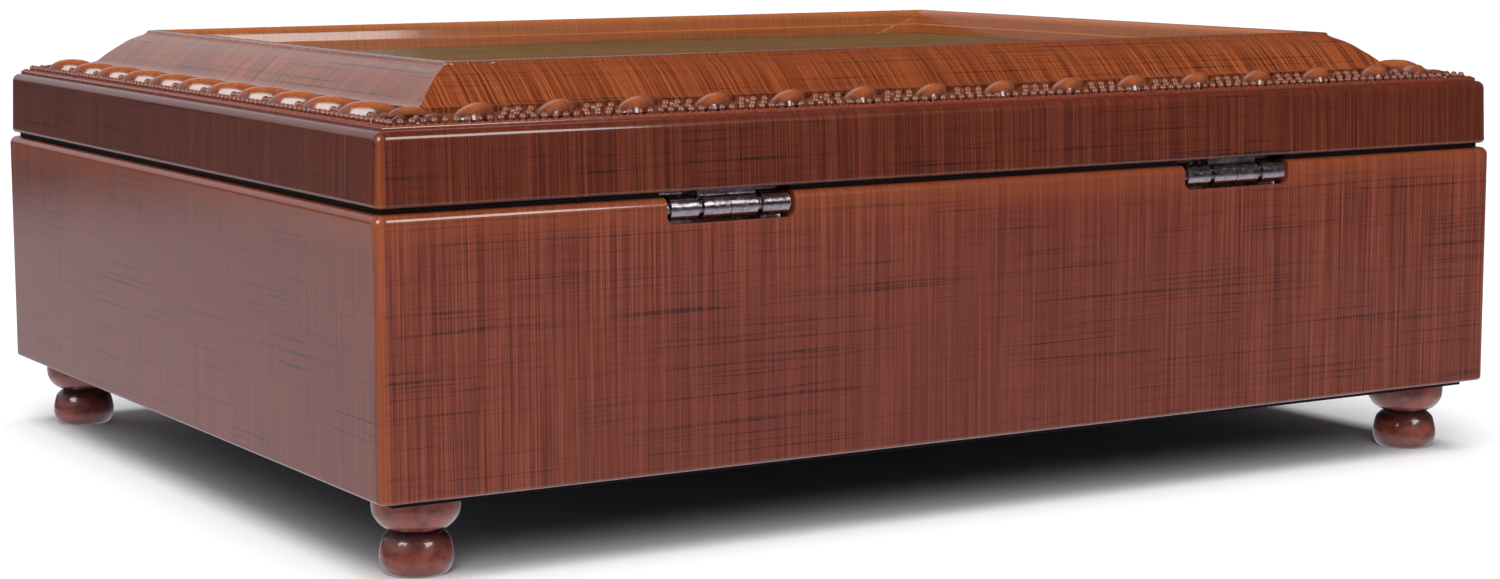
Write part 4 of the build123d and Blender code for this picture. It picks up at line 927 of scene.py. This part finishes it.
# ring rolls: six stuffed velvet tubes lying side by side
rlo, rhi = (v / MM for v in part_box("ring_rolls"))
n_rolls = 6
pitch = 10.75
half_w = (rhi.y - rlo.y - (n_rolls - 1) * pitch) / 2
for k in range(n_rolls):
    yk = rlo.y + half_w + k * pitch
    b = Build()
    rows = []
    NX = 84
    for i in range(NX + 1):
        t = i / NX
        te = 0.5 - 0.5 * math.cos(math.pi * t) if False else t
        # more rows near the ends
        te = t + 0.018 * math.sin(2 * math.pi * t) * -1
        x = rlo.x + 0.2 + (rhi.x - rlo.x - 0.4) * te
        d = min(x - rlo.x - 0.2, rhi.x - 0.2 - x)
        s = math.sqrt(max(0.0, 1 - (1 - min(1.0, d / 2.2)) ** 2))
        s = 0.55 + 0.45 * s
        row = []
        NS = 36
        for j in range(NS):
            a = 2 * math.pi * j / NS
            cs, sn = math.cos(a), math.sin(a)
            # a tall rounded section, flatter below
            pw = 0.62 if sn < 0 else 0.94
            yy = half_w * math.copysign(abs(cs) ** (0.55 if sn < 0 else 0.85), cs)
            mid = rlo.z + 8.0
            zz = mid + (rhi.z - mid) * sn if sn > 0 else mid + (mid - rlo.z) * math.copysign(abs(sn) ** pw, sn)
            wave = 0.14 * nz(x, yy + k * 20, a * 0.7, 0.16) + 0.05 * math.sin(x * 0.9 + 3 * a + k) * math.exp(-d / 9)
            grow = s + wave / 5
            row.append(Vector((x, yk + yy * min(grow, 1.0), mid + (zz - mid) * min(grow, 1.0))))
        rows.append(row)
    b.grid(rows, close_v=True)
    c0 = Vector((rows[0][0].x - 0.15, yk, rlo.z + 8.0))
    c1 = Vector((rows[-1][0].x + 0.15, yk, rlo.z + 8.0))
    inner0 = [c0 + (p - c0) * 0.5 + Vector((0.0, 0, 0)) for p in rows[0]]
    inner1 = [c1 + (p - c1) * 0.5 for p in rows[-1]]
    b.grid([rows[0], inner0], close_v=True)
    b.fan(list(reversed(inner0)), c0 + Vector((0.35, 0, 0)))
    b.grid([rows[-1], inner1], close_v=True)
    b.fan(inner1, c1 - Vector((0.35, 0, 0)))
    o = b.make(f"ring_roll_{k + 1}", M["velvet"])
    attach(o, "base")
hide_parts("ring_rolls")

# padded lining of the lid: rolled edge, a stitched line round the mirror, soft channels to the corners
llo, lhi = (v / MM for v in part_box("lid_lining"))
mlo, mhi = (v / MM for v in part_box("lid_mirror"))
lining = Build()
NU, NV = 128, 100
lhx, lhy, mhx, mhy = lhi.x, lhi.y, mhi.x, mhi.y


def lining_point(u, v, low):
    x, y = lhx * warp(u) * (1 - 0.002 * (1 - v * v)), lhy * warp(v) * (1 - 0.003 * (1 - u * u))
    d = max(0.0, min(lhx - abs(x), lhy - abs(y)))
    R = 1.9
    rnd = math.sqrt(max(0.0, 1 - (1 - min(1.0, d / R)) ** 2))
    if not low:
        return Vector((x, y, lhi.z - 0.3 * (1 - rnd)))
    dm = max(abs(x) - mhx, abs(y) - mhy)
    z = lhi.z - 0.3 - (lhi.z - 0.3 - llo.z) * rnd
    if dm > 0:
        z += 0.75 * math.exp(-(((dm - 5.0) / 1.0) ** 2)) * rnd
        z += 0.45 * math.exp(-(((d - 5.0) / 0.9) ** 2)) * rnd
        # mitre seams run from the mirror's corners to the lid's corners
        k = abs((abs(x) - mhx) - (abs(y) - mhy) * (lhx - mhx) / (lhy - mhy))
        if abs(x) > mhx and abs(y) > mhy:
            z += 0.8 * math.exp(-((k / 1.0) ** 2)) * rnd
        z += 0.10 * (nz(x, y, 4.0, 0.12) + 0.5) * rnd
    return Vector((x, y, z))


low = [[lining_point(-1 + 2 * i / NU, -1 + 2 * j / NV, True) for j in range(NV + 1)] for i in range(NU + 1)]
up = [[lining_point(-1 + 2 * i / NU, -1 + 2 * j / NV, False) for j in range(NV + 1)] for i in range(NU + 1)]
for i in range(NU + 1):
    for j in range(NV + 1):
        if i in (0, NU) or j in (0, NV):
            up[i][j] = low[i][j]
lining.grid(low)
lining.grid(up)
lid_pad = settle(lining.make("lid_lining_pad", M["velvet"]), "lid", "lid_lining")

# the worm's single right-hand thread, on the fan shaft
wlo, whi = (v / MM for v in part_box("worm_shaft"))
wc = Vector(((wlo.x + whi.x) / 2, (wlo.y + whi.y) / 2, 0))
worm = Build()
turns, z0w, z1w = 9.8, 27.7, 36.9
rows = []
n = int(turns * 18)
for i in range(n + 1):
    a = 2 * math.pi * turns * i / n
    z = z0w + (z1w - z0w) * i / n
    rad = Vector((math.cos(a), math.sin(a), 0))
    t = Vector((-math.sin(a), math.cos(a), 0.17)).normalized()
    upv = rad.cross(t).normalized()
    c = wc + rad * 0.82 + UP * z
    taper = min(1.0, i / 9, (n - i) / 9) * 0.85 + 0.15
    rows.append([c + rad * (0.16 * taper * math.cos(q)) + upv * (0.2 * taper * math.sin(q)) for q in (2 * math.pi * m / 8 for m in range(8))])
worm.grid(rows, close_v=True)
worm.fan(list(reversed(rows[0])), wc + Vector((0.82, 0, z0w)))
worm.fan(rows[-1], wc + Vector((math.cos(2 * math.pi * turns) * 0.82, math.sin(2 * math.pi * turns) * 0.82, z1w)))
worm_thread = worm.make("worm_thread", M["steel_screw"])
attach(worm_thread, "fan")

bpy.context.view_layer.update()
